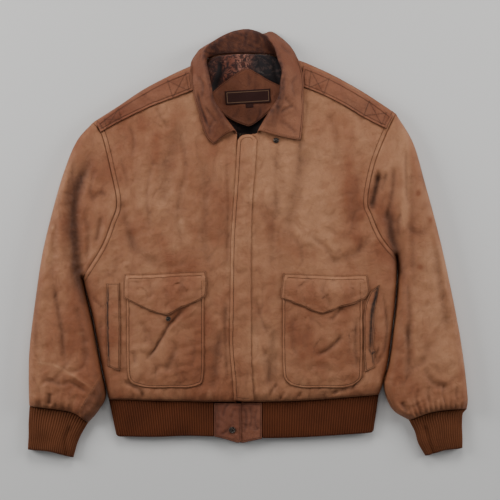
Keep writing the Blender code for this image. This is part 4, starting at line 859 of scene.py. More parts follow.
def cuff_knit(side):
    right = side == "right"
    outer = curve_through(CUFF_OUTER_R if right else CUFF_OUTER_L)
    inner = curve_through(CUFF_INNER_R if right else CUFF_INNER_L)
    seam, end = CUFF_SEAMS[side], curve_through(CUFF_END_R if right else CUFF_END_L)
    crease = curve_through([(-339, -352), (-347, -372), (-344, -398)] if right
                           else [(338, -350), (345, -372), (352, -396)])
    width = 0.5 * (np.linalg.norm(outer[0] - inner[0]) + np.linalg.norm(outer[-1] - inner[-1]))
    top = top_section(width, CUFF_HEIGHT)
    places, rise, turns = rib_path(lengths(top)[-1], CUFF_PITCH)
    upper, lower = at(top, places), under_section(width, 20)
    section = np.vstack([upper, lower])
    rise = np.concatenate([rise, np.zeros(len(lower))])
    turns = np.concatenate([turns, turns[-1] + (width - lower[:, 0]) / CUFF_PITCH])
    fractions = section[:, 0] / width
    rows, downs = [], np.linspace(0, 1, 21)
    for v in downs:
        o, i = spread(outer, [v])[0], spread(inner, [v])[0]
        bulge0 = spread(seam, fractions) - (seam[0] + fractions[:, None] * (seam[-1] - seam[0]))
        bulge1 = spread(end, fractions) - (end[0] + fractions[:, None] * (end[-1] - end[0]))
        plan = o + fractions[:, None] * (i - o) + (1 - v) * bulge0 + v * bulge1
        sway = 0.8 * ripples(plan, 60.0, 41)[:, None] * np.array([1.0, 0.0]) * (v * (1 - v) * 4)
        plan = plan + sway
        drop = 4.5 * np.exp(-(distance(crease, plan)[0] / 5.0) ** 2) + 0.8 * ripples(plan, 45.0, 42)
        top_share = np.clip((section[:, 1] - FOLD_HEIGHT) / (CUFF_HEIGHT - FOLD_HEIGHT), 0, 1)
        turned_in = 1.5 * top_share * ease((v - 0.85) / 0.15)
        rows.append(with_height(plan, section[:, 1] - drop * top_share - turned_in))
    grid = np.array(rows)
    grid[0, :, 1] -= 2 * SEAM_GAP
    normals = grid_normals(grid, around=True)
    normals *= np.sign(normals[:, len(upper) // 2, 2].mean())
    raised = grid + normals * rise[None, :, None]
    return wall("cuff_" + side + "_knit", raised, normals, KNIT + rise[None, :, None], around=True,
                marks=knit_marks(turns, downs * CUFF_DEPTH))


def band_knit():
    bottom = curve_through(BAND_BOTTOM)
    tab_right, tab_left = -64.0, 28.0
    rows, counts, downs = [], None, np.linspace(0, 1, 19)
    for v in downs:
        start, stop = HEM[0] * (1 - v) + bottom[0] * v, HEM[-1] * (1 - v) + bottom[-1] * v
        width = stop[0] - start[0]
        top = top_section(width, BAND_HEIGHT)
        run = lengths(top)
        cut_right = np.interp(tab_right - start[0] - SEAM_GAP, top[:, 0], run)
        cut_left = np.interp(tab_left - start[0] + SEAM_GAP, top[:, 0], run)
        if counts is None:
            counts = rib_path(cut_right, BAND_PITCH), rib_path(run[-1] - cut_left, BAND_PITCH)
        places_r = counts[0][0] / counts[0][0][-1] * cut_right
        places_l = counts[1][0] / counts[1][0][-1] * (run[-1] - cut_left)
        over_r, over_l = at(top, places_r)[::-1], at(top, cut_left + places_l)[::-1]
        under = under_section(width, 40)[::-1]
        section = np.vstack([over_r, under, over_l])
        x = start[0] + section[:, 0]
        y_top, y_low = np.interp(x, HEM[:, 0], HEM[:, 1]), np.interp(x, bottom[:, 0], bottom[:, 1])
        to_end = np.minimum(x - start[0], stop[0] - x)
        y_low = y_low + 5.0 * (1 - round_rise(to_end, 8.0)) + 0.8 * np.sin(x / 23.0)
        points = np.stack([x, y_top * (1 - v) + y_low * v, section[:, 1]], axis=-1)
        upper = np.clip((section[:, 1] - FOLD_HEIGHT) / (BAND_HEIGHT - FOLD_HEIGHT), 0, 1)
        points[:, 2] += upper * (0.7 * ripples(points[:, :2], 70.0, 43) - 1.4 * ease((v - 0.85) / 0.15))
        rows.append(points)
    grid = np.array(rows)
    rise = np.concatenate([counts[0][1][::-1], np.zeros(len(under)), counts[1][1][::-1]])
    under_turns = counts[0][2][-1] + np.linspace(0, 90, len(under))
    turns = np.concatenate([counts[0][2][::-1], under_turns, counts[1][2][::-1]])
    grid[0, :, 1] -= SEAM_GAP
    normals = grid_normals(grid)
    normals *= np.sign(normals[:, 5, 2].mean())
    normals = unit(normals * np.array([1, 0, 1]))
    normals[:, [0, -1]] = (0, 0, 1)
    return wall("band_knit", grid + normals * rise[None, :, None], normals, KNIT + rise[None, :, None],
                marks=knit_marks(turns, downs * BAND_DEPTH))


def knit_finish(name, low, high):
    """Brown wool knitted in ribs: small V loops down each rib, lighter on the loops, with painted shade between
    the ribs.
    """
    made, shader = new_finish(name, 0.92, Specular_IOR_Level=0.2)
    split = Link.node("ShaderNodeSeparateXYZ", i0=spot_value("loops", 1))
    across_ribs, down = split, Link(split.socket.node.outputs[1])
    lean = (across_ribs * 2.0).maths("FRACT") - 0.5
    loops = ((down + lean.maths("ABSOLUTE") * 2.2) * (2 * math.pi / 2.4)).maths("SINE") * 0.5 + 0.5
    # valley: painted shade in the hollows between the ribs
    valley = (across_ribs * (2 * math.pi)).maths("COSINE") * 0.5 + 0.5
    fuzz = speckle(420.0, 3.0, 0.7)
    cloud = speckle(14.0, 3.0)
    light = (0.6 - valley * 0.4 + loops * 0.2 + (fuzz - 0.5) * 0.5 + (cloud - 0.5) * 0.8).clamped()
    Link.feed(shader.inputs["Base Color"], light.tint(low, high))
    relief = loops * 0.6 + fuzz * 0.5 - valley * 0.3
    bump = Link.node("ShaderNodeBump", Strength=0.7, Distance=0.0008, Height=relief)
    Link.feed(shader.inputs["Normal"], bump)
    return made


cuff_wool = knit_finish("cuff_rib_knit", (0.074, 0.022, 0.009), (0.190, 0.064, 0.026))
for side in ("right", "left"):
    lay_sheet(cuff_knit(side), cuff_wool, ["cuff_" + side], (0.23, 0.075), ["floor"])
band_wool = knit_finish("waistband_rib_knit", (0.054, 0.013, 0.0045), (0.145, 0.040, 0.014))
lay_sheet(band_knit(), band_wool, ["waistband"], (1.00, 0.068), ["floor"])

# Zip and wind flap: a metal zip on woven tapes, hidden under one strip of leather that is sewn
# to the wearer's left of the zip and hangs free on the other edge, with one row of stitching.

LAY_GAP, RAY = 0.7, 30.0
WIND_FLAP_ROW = 6.6


def tree_of(*things):
    """A search tree over finished pieces, in plan millimetres."""
    points, faces = [], []
    for thing in things:
        start = len(points)
        co = np.empty(len(thing.data.vertices) * 3)
        thing.data.vertices.foreach_get("co", co)
        points.extend((co.reshape(-1, 3) * 1000.0 + SHIFT).tolist())
        faces.extend([[start + i for i in p.vertices] for p in thing.data.polygons])
    return BVHTree.FromPolygons(points, faces)


def neighbour_mean(values):
    """The mean of each value's four neighbours in a grid, whose edge goes on beyond it."""
    padded = np.pad(values, 1, mode="edge")
    return (padded[:-2, 1:-1] + padded[2:, 1:-1] + padded[1:-1, :-2] + padded[1:-1, 2:]) / 4


def lay(plan, tree, lift, reach=3.0):
    """Place plan points on what lies up to RAY above or below them, clear of it within reach."""
    step = 1.5
    ex, ey = np.array([step, 0.0]), np.array([0.0, step])
    slope_x = (body_height(plan + ex) - body_height(plan - ex)) / (2 * step)
    slope_y = (body_height(plan + ey) - body_height(plan - ey)) / (2 * step)
    up = unit(np.stack([-slope_x, -slope_y, np.ones_like(slope_x)], axis=-1))
    base = with_height(plan, body_height(plan))
    spots = [(0, 0), (reach, 0), (-reach, 0), (0, reach), (0, -reach)]
    rest = np.zeros(plan.shape[:-1])
    for index in np.ndindex(plan.shape[:-1]):
        n = up[index]
        best = -math.inf
        for dx, dy in spots:
            origin = base[index] + np.array([dx, dy, -(n[0] * dx + n[1] * dy) / n[2]]) + n * RAY
            hit = tree.ray_cast(Vector(origin), Vector(-n), 2 * RAY)
            if hit[0] is not None:
                best = max(best, RAY - hit[3])
        rest[index] = 0.0 if best < -RAY else best
    for _ in range(2):
        rest = np.maximum(rest, 0.5 * rest + 0.5 * neighbour_mean(rest))
    return base + up * (rest + lift)[..., None], up


def strip_plan(left, right, bottom, top, cols, rows):
    """Plan grid inside four given edges: left and right run up, bottom and top run across."""
    us = np.linspace(0, 1, cols + 1)
    vs = np.linspace(0, 1, rows + 1)
    sides = [spread(curve_through(line), vs if k < 2 else us)
             for k, line in enumerate((left, right, bottom, top))]
    return coons(*sides, us, vs)


def outline_of(plan):
    """The closed edge of a plan grid, as a curve."""
    return np.vstack([plan[0], plan[1:, -1], plan[-1, -2::-1], plan[-2::-1, 0]])


def sewn_piece(name, plan, tree, rows, lift=LAY_GAP, swell=0.0, folds=(), second=None, plain=None,
               seams=(), reach=3.0):
    """A piece sewn on top of others: laid on them, soft at its edges, with its own folds.

    The second row of stitching runs only along the curve called second, and there is
    none along the one called plain; seams are further stitched lines across the piece."""
    low, up = lay(plan, tree, lift, reach)
    rim = distance(outline_of(plan), plan)[0]
    sink, shade_and_dark_tone = fold_parts(plan, fold_curves(folds))
    full = swell * ease(rim / 26.0) + 0.3 * np.exp(-((rim - 0.5 * sum(rows)) / 2.4) ** 2)
    full = full + 0.35 * ripples(plan, 24.0, len(name)) * ease(rim / 10.0)
    full = full - 0.35 * np.exp(-(rim - rows[0]) ** 2)
    full = np.maximum(full - sink, -0.2 if swell else 0.0)
    thick = (LEATHER * (0.55 + 0.45 * round_rise(rim, 1.6)))[..., None]
    outer = low + up * (thick + full[..., None])
    drawn = rim
    if second is not None:
        drawn = np.where((rim > 5.6) & (distance(second, plan)[0] > 12.0), NO_SEAM, drawn)
    if plain is not None:
        near = distance(plain, plan)[0]
        drawn = np.where((near > 1.3) & (near < rim + 0.01), NO_SEAM, drawn)
    # painted shade in the piece's creases and those of the leather below, and along the stitched seam lines
    shade_and_dark_tone = shade_and_dark_tone + 0.35 * fold_parts(plan)[1]
    for seam in seams:
        shade_and_dark_tone = np.maximum(shade_and_dark_tone, 0.5 * np.exp(-(distance(curve_through(seam, 6), plan)[0] / 0.9) ** 2))
    return wall(name, outer, up, thick, marks=leather_marks(plan, shade_and_dark_tone=np.clip(shade_and_dark_tone, 0, 1), rim=drawn))


ground = tree_of(*fronts.values())
FLAP_EDGE = [(-26, -295), (-29, -250), (-34, -190), (-33, -106), (-31, 10), (-24, 115), (-19, 197)]
FLAP_SEWN = [(12, -296), (8, -240), (7, -106), (7, 10), (10, 86), (16, 160), (18, 197)]
flap_plan = strip_plan(FLAP_EDGE, FLAP_SEWN, [(-26, -295), (-6, -297), (12, -296)],
                       [(-19, 197), (-10, 206), (8, 207), (18, 197)], 20, 200)
FLAP_FOLDS = [
    ([(-30, 60), (-12, 52), (6, 60)], 0.7, 5.0), ([(-32, -40), (-14, -52), (4, -46)], 0.7, 6.0),
    ([(-30, -150), (-14, -140), (4, -146)], 0.8, 5.0), ([(-28, -236), (-10, -250), (6, -240)], 0.9, 6.0),
    ([(-22, -286), (-16, -262), (-14, -230)], 0.9, 4.0), ([(0, -288), (-2, -262), (2, -232)], 0.8, 4.0),
    ([(-20, 160), (-6, 150), (12, 158)], 0.6, 5.0), ([(-22, 110), (-8, 104), (8, 112)], 0.5, 5.0),
]
flap = sewn_piece("wind_flap_leather", flap_plan, ground, (WIND_FLAP_ROW,), swell=0.9, folds=FLAP_FOLDS,
                  plain=curve_through(FLAP_SEWN), reach=4.0)
lay_sheet(flap, leather_finish("wind_flap_hide", *TAN, (WIND_FLAP_ROW,)), ["wind_flap"],
          (0.042, 0.50), ["front_left_leather"])


def straight_up(plan):
    """Upright unit normals for a plan grid."""
    return with_height(np.zeros_like(plan), 1.0)


def zip_tapes():
    """Both tapes as one strip under the fronts' zip edges, and the line of the chain on it."""
    columns = np.linspace(-12.0, 12.0, 13)
    heights = np.linspace(0.07, 1, 90)
    middle = 0.5 * (spread(curve_through(CENTRE_R), heights) + spread(curve_through(CENTRE_L), heights))
    plan = middle[:, None, :] + np.stack([columns, np.zeros_like(columns)], axis=-1)[None]
    plan[-1, :, 1] += 2.0
    z = body_height(plan) - LEATHER - LAY_GAP - 0.6
    z = np.minimum(z, z.min(axis=1, keepdims=True) + 0.3)
    chain = with_height(middle, z[:, len(columns) // 2] + 0.9)
    return wall("zip_tapes", with_height(plan, z), straight_up(plan), 1.0), chain


def plain_finish(name, colour, rough, metal=0.0, fleck=0.25, scale=300.0):
    """One even colour with a little fine variation."""
    made, shader = new_finish(name, rough, Metallic=metal, Specular_IOR_Level=0.15)
    grain = speckle(scale, 3.0, 0.6)
    tone = (grain.step(0.3, 0.7) * fleck + (1.0 - fleck)).clamped()
    Link.feed(shader.inputs["Base Color"], tone.tint(tuple(0.35 * c for c in colour), colour))
    bump = Link.node("ShaderNodeBump", Strength=0.3, Distance=0.0003, Height=grain)
    Link.feed(shader.inputs["Normal"], bump)
    return made


tape_cloth = plain_finish("zip_tape_cloth", (0.014, 0.008, 0.006), 0.9)
dull_metal = plain_finish("dull_zip_metal", (0.11, 0.085, 0.065), 0.45, 0.8, 0.4)
tapes, chain_line = zip_tapes()
tapes.data.materials.append(tape_cloth)
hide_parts("zip")
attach(tapes, "root")


def line_object(name, lines):
    """Edges along plan curves, in metres, for Geometry Nodes to follow."""
    points, edges = [], []
    for line in lines:
        start = len(points)
        points.extend(((np.asarray(line) - SHIFT) * 0.001).tolist())
        edges.extend([(k, k + 1) for k in range(start, len(points) - 1)])
    mesh = bpy.data.meshes.new(name)
    mesh.from_pydata(points, edges, [])
    thing = bpy.data.objects.new(name, mesh)
    bpy.context.scene.collection.objects.link(thing)
    return thing


def repeat_along(name, lines, pitch, size, finish, sides=6, rings=4):
    """Small rounded pieces of one size set in a row along curves: stitches or zip teeth."""
    guide = line_object(name, lines)
    tree = bpy.data.node_groups.new(name + "_row", "GeometryNodeTree")
    tree.interface.new_socket("Geometry", in_out="INPUT", socket_type="NodeSocketGeometry")
    tree.interface.new_socket("Geometry", in_out="OUTPUT", socket_type="NodeSocketGeometry")
    inputs = {}
    for label, kind, value in (("Pitch", "NodeSocketFloat", pitch), ("Size", "NodeSocketVector", size)):
        socket = tree.interface.new_socket(label, in_out="INPUT", socket_type=kind)
        inputs[socket.identifier] = value

    def node(kind, **settings):
        made = tree.nodes.new(kind)
        for key, value in settings.items():
            setattr(made, key, value)
        return made

    start, end = node("NodeGroupInput"), node("NodeGroupOutput")
    to_curve, resample = node("GeometryNodeMeshToCurve"), node("GeometryNodeResampleCurve", mode="LENGTH")
    tangent, turn = node("GeometryNodeInputTangent"), node("FunctionNodeAlignRotationToVector", axis="X")
    ball, shape = node("GeometryNodeMeshUVSphere"), node("GeometryNodeTransform")
    copies, real = node("GeometryNodeInstanceOnPoints"), node("GeometryNodeRealizeInstances")
    coat = node("GeometryNodeSetMaterial")
    coat.inputs["Material"].default_value = finish
    ball.inputs["Segments"].default_value, ball.inputs["Rings"].default_value = sides, rings
    ball.inputs["Radius"].default_value = 0.5
    for a, b in ((start.outputs[0], to_curve.inputs[0]), (to_curve.outputs[0], resample.inputs["Curve"]),
                 (start.outputs[1], resample.inputs["Length"]),
                 (resample.outputs[0], copies.inputs["Points"]),
                 (tangent.outputs[0], turn.inputs["Vector"]), (turn.outputs[0], copies.inputs["Rotation"]),
                 (ball.outputs[0], shape.inputs["Geometry"]), (start.outputs[2], shape.inputs["Scale"]),
                 (shape.outputs[0], copies.inputs["Instance"]), (copies.outputs[0], real.inputs[0]),
                 (real.outputs[0], coat.inputs["Geometry"]), (coat.outputs[0], end.inputs[0])):
        tree.links.new(a, b)
    row = guide.modifiers.new("row", "NODES")
    row.node_group = tree
    for identifier, value in inputs.items():
        row[identifier] = value
    plain = bpy.data.meshes.new_from_object(guide.evaluated_get(bpy.context.evaluated_depsgraph_get()))
    guide.modifiers.clear()
    guide.data = plain
    plain.shade_smooth()
    return guide


teeth = repeat_along("zip_teeth", [chain_line], 0.0014, (0.0008, 0.0042, 0.0012), dull_metal)
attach(teeth, "root")

# Pockets, flaps and welts: leather patch pockets with pointed flaps on both fronts, and beside
# each a slit for the hand, bound with a narrow welt. All are sewn down on the fronts.

# how far in from its edge each piece is stitched; a flap's second row runs along its top alone
POCKET_ROW, FLAP_ROWS, WELT_ROW = 4.6, (2.2, 8.6), 2.4

POCKET_R = ([(-216, -264), (-226, -250), (-228, -200), (-228, -130), (-228, -66)],
            [(-97, -268), (-84, -256), (-82, -200), (-82, -130), (-82, -64)],
            [(-216, -264), (-190, -271), (-147, -271), (-115, -271), (-97, -268)],
            [(-228, -66), (-180, -65), (-130, -64), (-82, -64)])
POCKET_L = ([(82, -266), (69, -250), (66, -200), (66, -130), (66, -68)],
            [(203, -265), (215, -250), (217, -200), (217, -130), (217, -68)],
            [(82, -266), (105, -271), (140, -271), (180, -271), (203, -265)],
            [(66, -68), (110, -68), (170, -68), (217, -68)])
POCKET_FOLDS_R = [
    ([(-114, -116), (-136, -138), (-151, -157), (-162, -177), (-178, -203), (-197, -220)], 3.4, 4.5),
    ([(-89, -115), (-119, -138), (-142, -157), (-155, -172)], -1.6, 4.0),
    ([(-145, -174), (-136, -199), (-160, -245)], 2.2, 6.0), ([(-216, -199), (-212, -229)], 2.0, 5.0),
    ([(-123, -237), (-117, -262)], 1.8, 4.0), ([(-205, -140), (-190, -170), (-196, -196)], 1.6, 7.0),
    ([(-108, -170), (-100, -205), (-108, -240)], 1.6, 6.0),
    ([(-180, -250), (-164, -232), (-140, -236)], 1.3, 6.0),
]
POCKET_FOLDS_L = [
    ([(179, -115), (168, -132), (155, -147)], 2.4, 4.5), ([(182, -170), (155, -196), (126, -213)], 3.0, 5.5),
    ([(209, -134), (204, -165), (204, -201), (209, -239)], 3.0, 5.0),
    ([(90, -130), (84, -170), (92, -220)], 1.8, 7.0), ([(110, -240), (136, -228), (166, -240)], 1.4, 7.0),
    ([(120, -150), (108, -176), (112, -200)], 1.4, 7.0),
]
FLAP_R = ([(-233, -101), (-234, -80), (-232, -56)], [(-79, -98), (-76, -74), (-79, -50)],
          [(-233, -101), (-208, -114), (-178, -127), (-152, -134), (-128, -121), (-100, -110), (-79, -98)],
          [(-232, -56), (-180, -55), (-130, -52), (-79, -50)])
FLAP_L = ([(64, -103), (62, -94), (68, -54)], [(224, -102), (230, -88), (226, -57)],
          [(64, -103), (90, -112), (118, -124), (143, -131), (170, -120), (198, -112), (224, -102)],
          [(68, -54), (110, -56), (170, -58), (226, -57)])
FLAP_FOLDS_R = [([(-190, -60), (-182, -84), (-188, -110)], 1.2, 6.0),
                ([(-120, -56), (-126, -84), (-118, -104)], 1.2, 6.0),
                ([(-156, -130), (-150, -104), (-158, -76)], 0.9, 5.0)]
FLAP_FOLDS_L = [([(151, -60), (142, -87), (151, -106), (156, -122)], 1.8, 5.0),
                ([(118, -60), (104, -76), (92, -84)], 1.6, 5.0),
                ([(190, -62), (198, -86), (194, -106)], 1.0, 6.0)]
WELT_R = ([(-264, -230), (-267, -150), (-266, -74)], [(-241, -240), (-240, -150), (-242, -73)],
          [(-264, -230), (-241, -240)], [(-266, -74), (-242, -73)])
WELT_L = ([(222, -242), (219.5, -180), (221, -122), (232, -90)],
          [(240, -232), (238, -196), (240, -152), (240, -128), (244, -106), (249, -76)],
          [(222, -242), (240, -232)], [(232, -90), (249, -76)])
SLITS = {"right": [([(-262.5, -66), (-263.5, -120), (-263, -168), (-260.5, -236)], 5.6, 1.8)],
         "left": [([(248, -66), (242, -98), (235.5, -122), (233.5, -142), (232.5, -168), (231, -210)],
                   7.0, 4.4),
                  ([(228, -196), (235, -206), (242, -198)], 4.0, 2.4),
                  ([(233, -204), (236, -216), (238, -226)], 3.0, 2.4)]}
pocket_plans = {"right": strip_plan(*POCKET_R, 56, 76), "left": strip_plan(*POCKET_L, 56, 76)}
flap_plans = {"right": strip_plan(*FLAP_R, 62, 28), "left": strip_plan(*FLAP_L, 62, 28)}
welt_plans = {"right": strip_plan(*WELT_R, 14, 110), "left": strip_plan(*WELT_L, 16, 110)}
pocket_hide = leather_finish("pocket_hide", *TAN, (POCKET_ROW,))
flap_hide = leather_finish("pocket_flap_hide", *TAN, FLAP_ROWS)
welt_hide = leather_finish("welt_hide", *TAN[:2], (0.016, 0.006, 0.003), (WELT_ROW,))
for side, pocket_folds, flap_folds in (("right", POCKET_FOLDS_R, FLAP_FOLDS_R),
                                       ("left", POCKET_FOLDS_L, FLAP_FOLDS_L)):
    pocket = sewn_piece("pocket_" + side + "_leather", pocket_plans[side], ground, (POCKET_ROW,),
                        swell=3.4, folds=pocket_folds)
    lay_sheet(pocket, pocket_hide, ["pocket_" + side], (0.15, 0.21),
              ["front_" + side + "_leather"])
    cover = sewn_piece("pocket_flap_" + side + "_leather", flap_plans[side],
                       tree_of(fronts[side], pocket), FLAP_ROWS, lift=LAY_GAP + 0.3, swell=1.2,
                       folds=flap_folds, second=flap_plans[side][-1])
    lay_sheet(cover, flap_hide, ["pocket_flap_" + side], (0.16, 0.082),
              ["pocket_" + side + "_leather"])
    welt = sewn_piece("welt_" + side + "_leather", welt_plans[side], ground, (WELT_ROW,), swell=0.5,
                      folds=SLITS[side])
    lay_sheet(welt, welt_hide, ["welt_" + side], (0.025 if side == "right" else 0.018, 0.16),
              ["front_" + side + "_leather"])

# Shoulder straps: a leather strap along each shoulder, sewn in under the collar at one end and
# into the armhole at the other, with a stitched cross in a box at both ends.

STRAP_R = ([(-277, 211), (-281, 219), (-285, 228)], [(-101, 291), (-103, 309), (-106, 330)],
           [(-277, 211), (-252, 226), (-226, 239), (-184, 259), (-142, 275), (-101, 291)],
           [(-285, 228), (-254, 251), (-221, 273), (-187, 293), (-152, 311), (-106, 330)])
STRAP_L = ([(102, 298), (102, 316), (105, 337)], [(262, 218), (267, 229), (274, 242)],
           [(102, 298), (137, 284), (170, 268), (195, 254), (223, 237), (262, 218)],
           [(105, 337), (142, 322), (176, 305), (212, 285), (242, 266), (274, 242)])
STRAP_ROW = 5.2
# the stitched boxes, two on each strap: the corners a, b on one short side and c, d on the other
STRAP_BOXES = {"right": (((-117, 322), (-110, 289), (-151, 309), (-141, 277)),
                         ((-243, 255), (-238, 235), (-270, 236), (-266, 220))),
               "left": (((120, 327), (116, 295), (154, 312), (144, 283)),
                        ((230, 270), (219, 242), (262, 248), (253, 226)))}
strap_plans = {"right": strip_plan(*STRAP_R, 130, 26), "left": strip_plan(*STRAP_L, 130, 26)}
strap_hide = leather_finish("strap_hide", *RED_BROWN, (STRAP_ROW,))
straps, strap_seams = {}, {}
for side in ("right", "left"):
    strap_seams[side] = [line for a, b, c, d in STRAP_BOXES[side]
                         for line in ((a, b), (c, d), (a, d), (b, c))]
    straps[side] = sewn_piece("shoulder_strap_" + side + "_leather", strap_plans[side],
                              tree_of(fronts[side], sleeves[side]), (STRAP_ROW,), lift=LAY_GAP + 0.3,
                              swell=0.6, seams=strap_seams[side])
    lay_sheet(straps[side], strap_hide, ["shoulder_strap_" + side], (0.205, 0.034),
              ["front_" + side + "_leather"])

# Hem tabs: leather ends of the knit band, two layers of hide sewn round their edges.
# The wearer's right tab laps over the left one and closes on it with a press stud.

TAB_THICKNESS, TAB_ROW = 3.0, 3.0
TAB_FOLDS = {"right": [([(-34, -302), (-43, -311), (-47, -330)], 2.4, 2.6),
                       ([(-30, -340), (-40, -355), (-52, -362)], 2.6, 3.0),
                       ([(-56, -310), (-54, -335), (-58, -356)], 2.0, 3.0),
                       ([(-24, -310), (-30, -330), (-22, -350)], 2.0, 3.0)],
             "left": [([(4, -305), (8, -330), (2, -355)], 2.6, 3.4),
                      ([(18, -310), (14, -335), (20, -356)], 2.4, 3.0),
                      ([(-6, -308), (-2, -330), (-6, -360)], 3.0, 3.4),
                      ([(8, -345), (16, -352), (24, -346)], 2.2, 3.0)]}


def hem_tab(side):
    right = side == "right"
    cols, rows = 30, 40
    xs = np.linspace(-63.6, -12.5, cols) if right else np.linspace(-36.0, 27.6, cols)
    vs = np.linspace(0, 1, rows)
    top_y = np.interp(xs, HEM[:, 0], HEM[:, 1]) - SEAM_GAP
    low_y = np.interp(xs, [-64, -41, -12, 28], [-365, -370, -379, -369])
    if right:
        lapped = BAND_HEIGHT + 3.6
        height = np.interp(xs, [-64, -56, -42, -12], [BAND_HEIGHT, BAND_HEIGHT, lapped, lapped])
        low_y = low_y + 3.0 * ease((xs + 20) / 7.5)
        top_y = top_y - 1.0
    else:
        height = np.full(cols, BAND_HEIGHT)
        low_y = np.minimum(low_y + np.interp(xs, [-36, -8, 28], [8, 1, 0]), -365)
    plan = np.stack([np.broadcast_to(xs, (rows, cols)), top_y + vs[:, None] * (low_y - top_y)], axis=-1)
    rim = distance(outline_of(plan), plan)[0]
    sink, shade_and_dark_tone = fold_parts(plan, fold_curves(TAB_FOLDS[side]))
    z = height - 0.4 * sink + 0.4 * np.exp(-((rim - 1.8) / 1.4) ** 2) - 1.1 * (1 - round_rise(rim, 1.8))
    z = z + 0.4 * ripples(plan, 16.0, 51) * ease(rim / 6)
    marks = leather_marks(plan, shade_and_dark_tone=shade_and_dark_tone, rim=rim)
    thick = (TAB_THICKNESS + z - np.broadcast_to(height, z.shape))[..., None]
    return wall("hem_tab_" + side + "_leather", with_height(plan, z), straight_up(plan), thick, marks=marks)


tabs = {side: hem_tab(side) for side in ("left", "right")}
tab_hide = leather_finish("hem_tab_hide", (0.140, 0.040, 0.020), (0.240, 0.088, 0.046),
                          (0.042, 0.012, 0.007), (TAB_ROW,))
for side in ("left", "right"):
    lay_sheet(tabs[side], tab_hide, ["hem_tab_" + side], (0.058, 0.072), ["floor"])

# Neck: inside the open collar the back lining shows, a dark printed satin, with a leather facing
# sewn on it, a bare woven label and a small bare size tab under the label.

# room left for the back's wall and above it, and how far the facing's base lies above both
BACK_WALL, CLEAR, FACING_LIFT, FACING_ROW = 2.0, 0.6, 4.4, 2.4


def neck_sheet(name, plan, height, thickness, marks=None):
    return wall(name, with_height(plan, height + thickness), straight_up(plan), thickness, marks=marks)


def print_finish():
    """Dark satin with a generic veined print in reddish browns and blue-black, a painted highlight down its
    middle, and painted shade in its folds and along its bottom.
    """
    made, shader = new_finish("printed_satin", 0.55, Specular_IOR_Level=0.3)
    wander = speckle(34.0, 4.0, 0.6, 2.2)
    threads = 1.0 - ((speckle(44.0, 4.0, 0.6, 3.0) - 0.5).maths("ABSOLUTE") * 2.0).step(0.02, 0.14)
    split = Link.node("ShaderNodeSeparateXYZ", i0=Link.node("ShaderNodeTexCoord", output=3))
    side = (split + (speckle(14.0, 2.0) - 0.5) * 0.05).step(0.004, 0.022)
    # a painted highlight down the middle of the satin, on its warm ground
    middle_highlight = 1.0 - (split + 0.006).maths("ABSOLUTE").step(0.008, 0.026)
    warm_tone = (middle_highlight * 0.7).tint((0.165, 0.050, 0.030), (0.330, 0.140, 0.095))
    ground_tone = side.tint(warm_tone, (0.014, 0.010, 0.011))
    leafy = wander.step(0.5, 0.58).tint(ground_tone, side.tint((0.060, 0.017, 0.011), (0.055, 0.032, 0.028)))
    glints = speckle(52.0, 4.0, 0.6, 2.0).step(0.6, 0.68) * 0.5
    leafy = glints.tint(leafy, side.tint((0.34, 0.16, 0.115), (0.15, 0.12, 0.11)))
    printed = (threads * 0.8).tint(leafy, (0.010, 0.006, 0.007))
    # painted shade in the folds, a painted shadow along the bottom, and a darker print toward negative x, from
    # the mesh
    Link.feed(shader.inputs["Base Color"], spot_value("shade_and_dark_tone").tint(printed, (0.010, 0.005, 0.005)))
    return made


lining_plan = strip_plan([(-78, 190), (-92, 270), (-78, 342)], [(82, 190), (90, 270), (71, 342)],
                         [(-78, 190), (0, 184), (82, 190)],
                         [(-78, 342), (-60, 356.5), (-16, 361.5), (28, 360.5), (50, 357.5), (71, 342)],
                         80, 80)
lining_base = under_height(lining_plan, edge_distance(lining_plan)) + BACK_WALL + CLEAR
lining_base = lining_base + 3.0 * ease((lining_plan[..., 1] - 200) / 60.0)
LINING_FOLDS = [([(-50, 352), (-53, 330), (-59, 310), (-70, 288)], 7.0, 5.5),
                ([(50, 350), (54, 322), (66, 290)], 3.0, 4.0),
                ([(-36, 356), (-40, 335), (-58, 316)], 2.2, 3.0),
                ([(20, 356), (24, 336), (40, 320)], 2.4, 3.0),
                ([(-82, 344), (-78, 320), (-86, 300)], 4.0, 5.0),
                ([(-30, 215), (-10, 208), (20, 214)], 3.0, 8.0)]
lining_sink, lining_shade_and_tone = fold_parts(lining_plan, fold_curves(LINING_FOLDS))
# painted shade in the folds, a painted shadow along the bottom, and a darker print ground toward negative x
lining_shade_and_tone = (1.4 * lining_shade_and_tone + 0.9 * ease((236 - lining_plan[..., 1]) / 10)
               + 0.45 * ease((-46 - lining_plan[..., 0]) / 8))
lining = neck_sheet("back_lining_cloth", lining_plan, lining_base + 0.6 - lining_sink * 0.25, 0.9,
                    {"shade_and_dark_tone": np.clip(lining_shade_and_tone, 0, 1)})
lay_sheet(lining, print_finish(), ["back_lining"], (0.17, 0.165), ["back_leather"])

facing_plan = strip_plan([(-6, 226), (-30, 236), (-52, 252), (-76, 276)],
                         [(40, 250), (58, 266), (82, 290), (80, 296)],
                         [(-6, 226), (4, 224), (20, 233), (40, 250)],
                         [(-76, 276), (-66, 290), (-45, 308), (-5, 334), (18, 326), (38, 314), (61, 303),
                          (80, 296)], 44, 36)
facing_rim = distance(outline_of(facing_plan), facing_plan)[0]
FACING_BASE = NECK_LIFT + BACK_WALL + CLEAR + FACING_LIFT
FACING_FOLDS = [([(0, 326), (4, 310), (0, 298)], 3.0, 4.0), ([(25, 262), (23, 246), (16, 231)], 3.4, 3.0),
                ([(-14, 262), (-22, 248), (-32, 238)], 2.6, 3.4),
                ([(-56, 290), (-44, 278), (-46, 262)], 2.2, 5.0),
                ([(62, 292), (54, 278), (58, 262)], 2.4, 4.0), ([(4, 262), (2, 244), (6, 230)], 1.6, 5.0)]
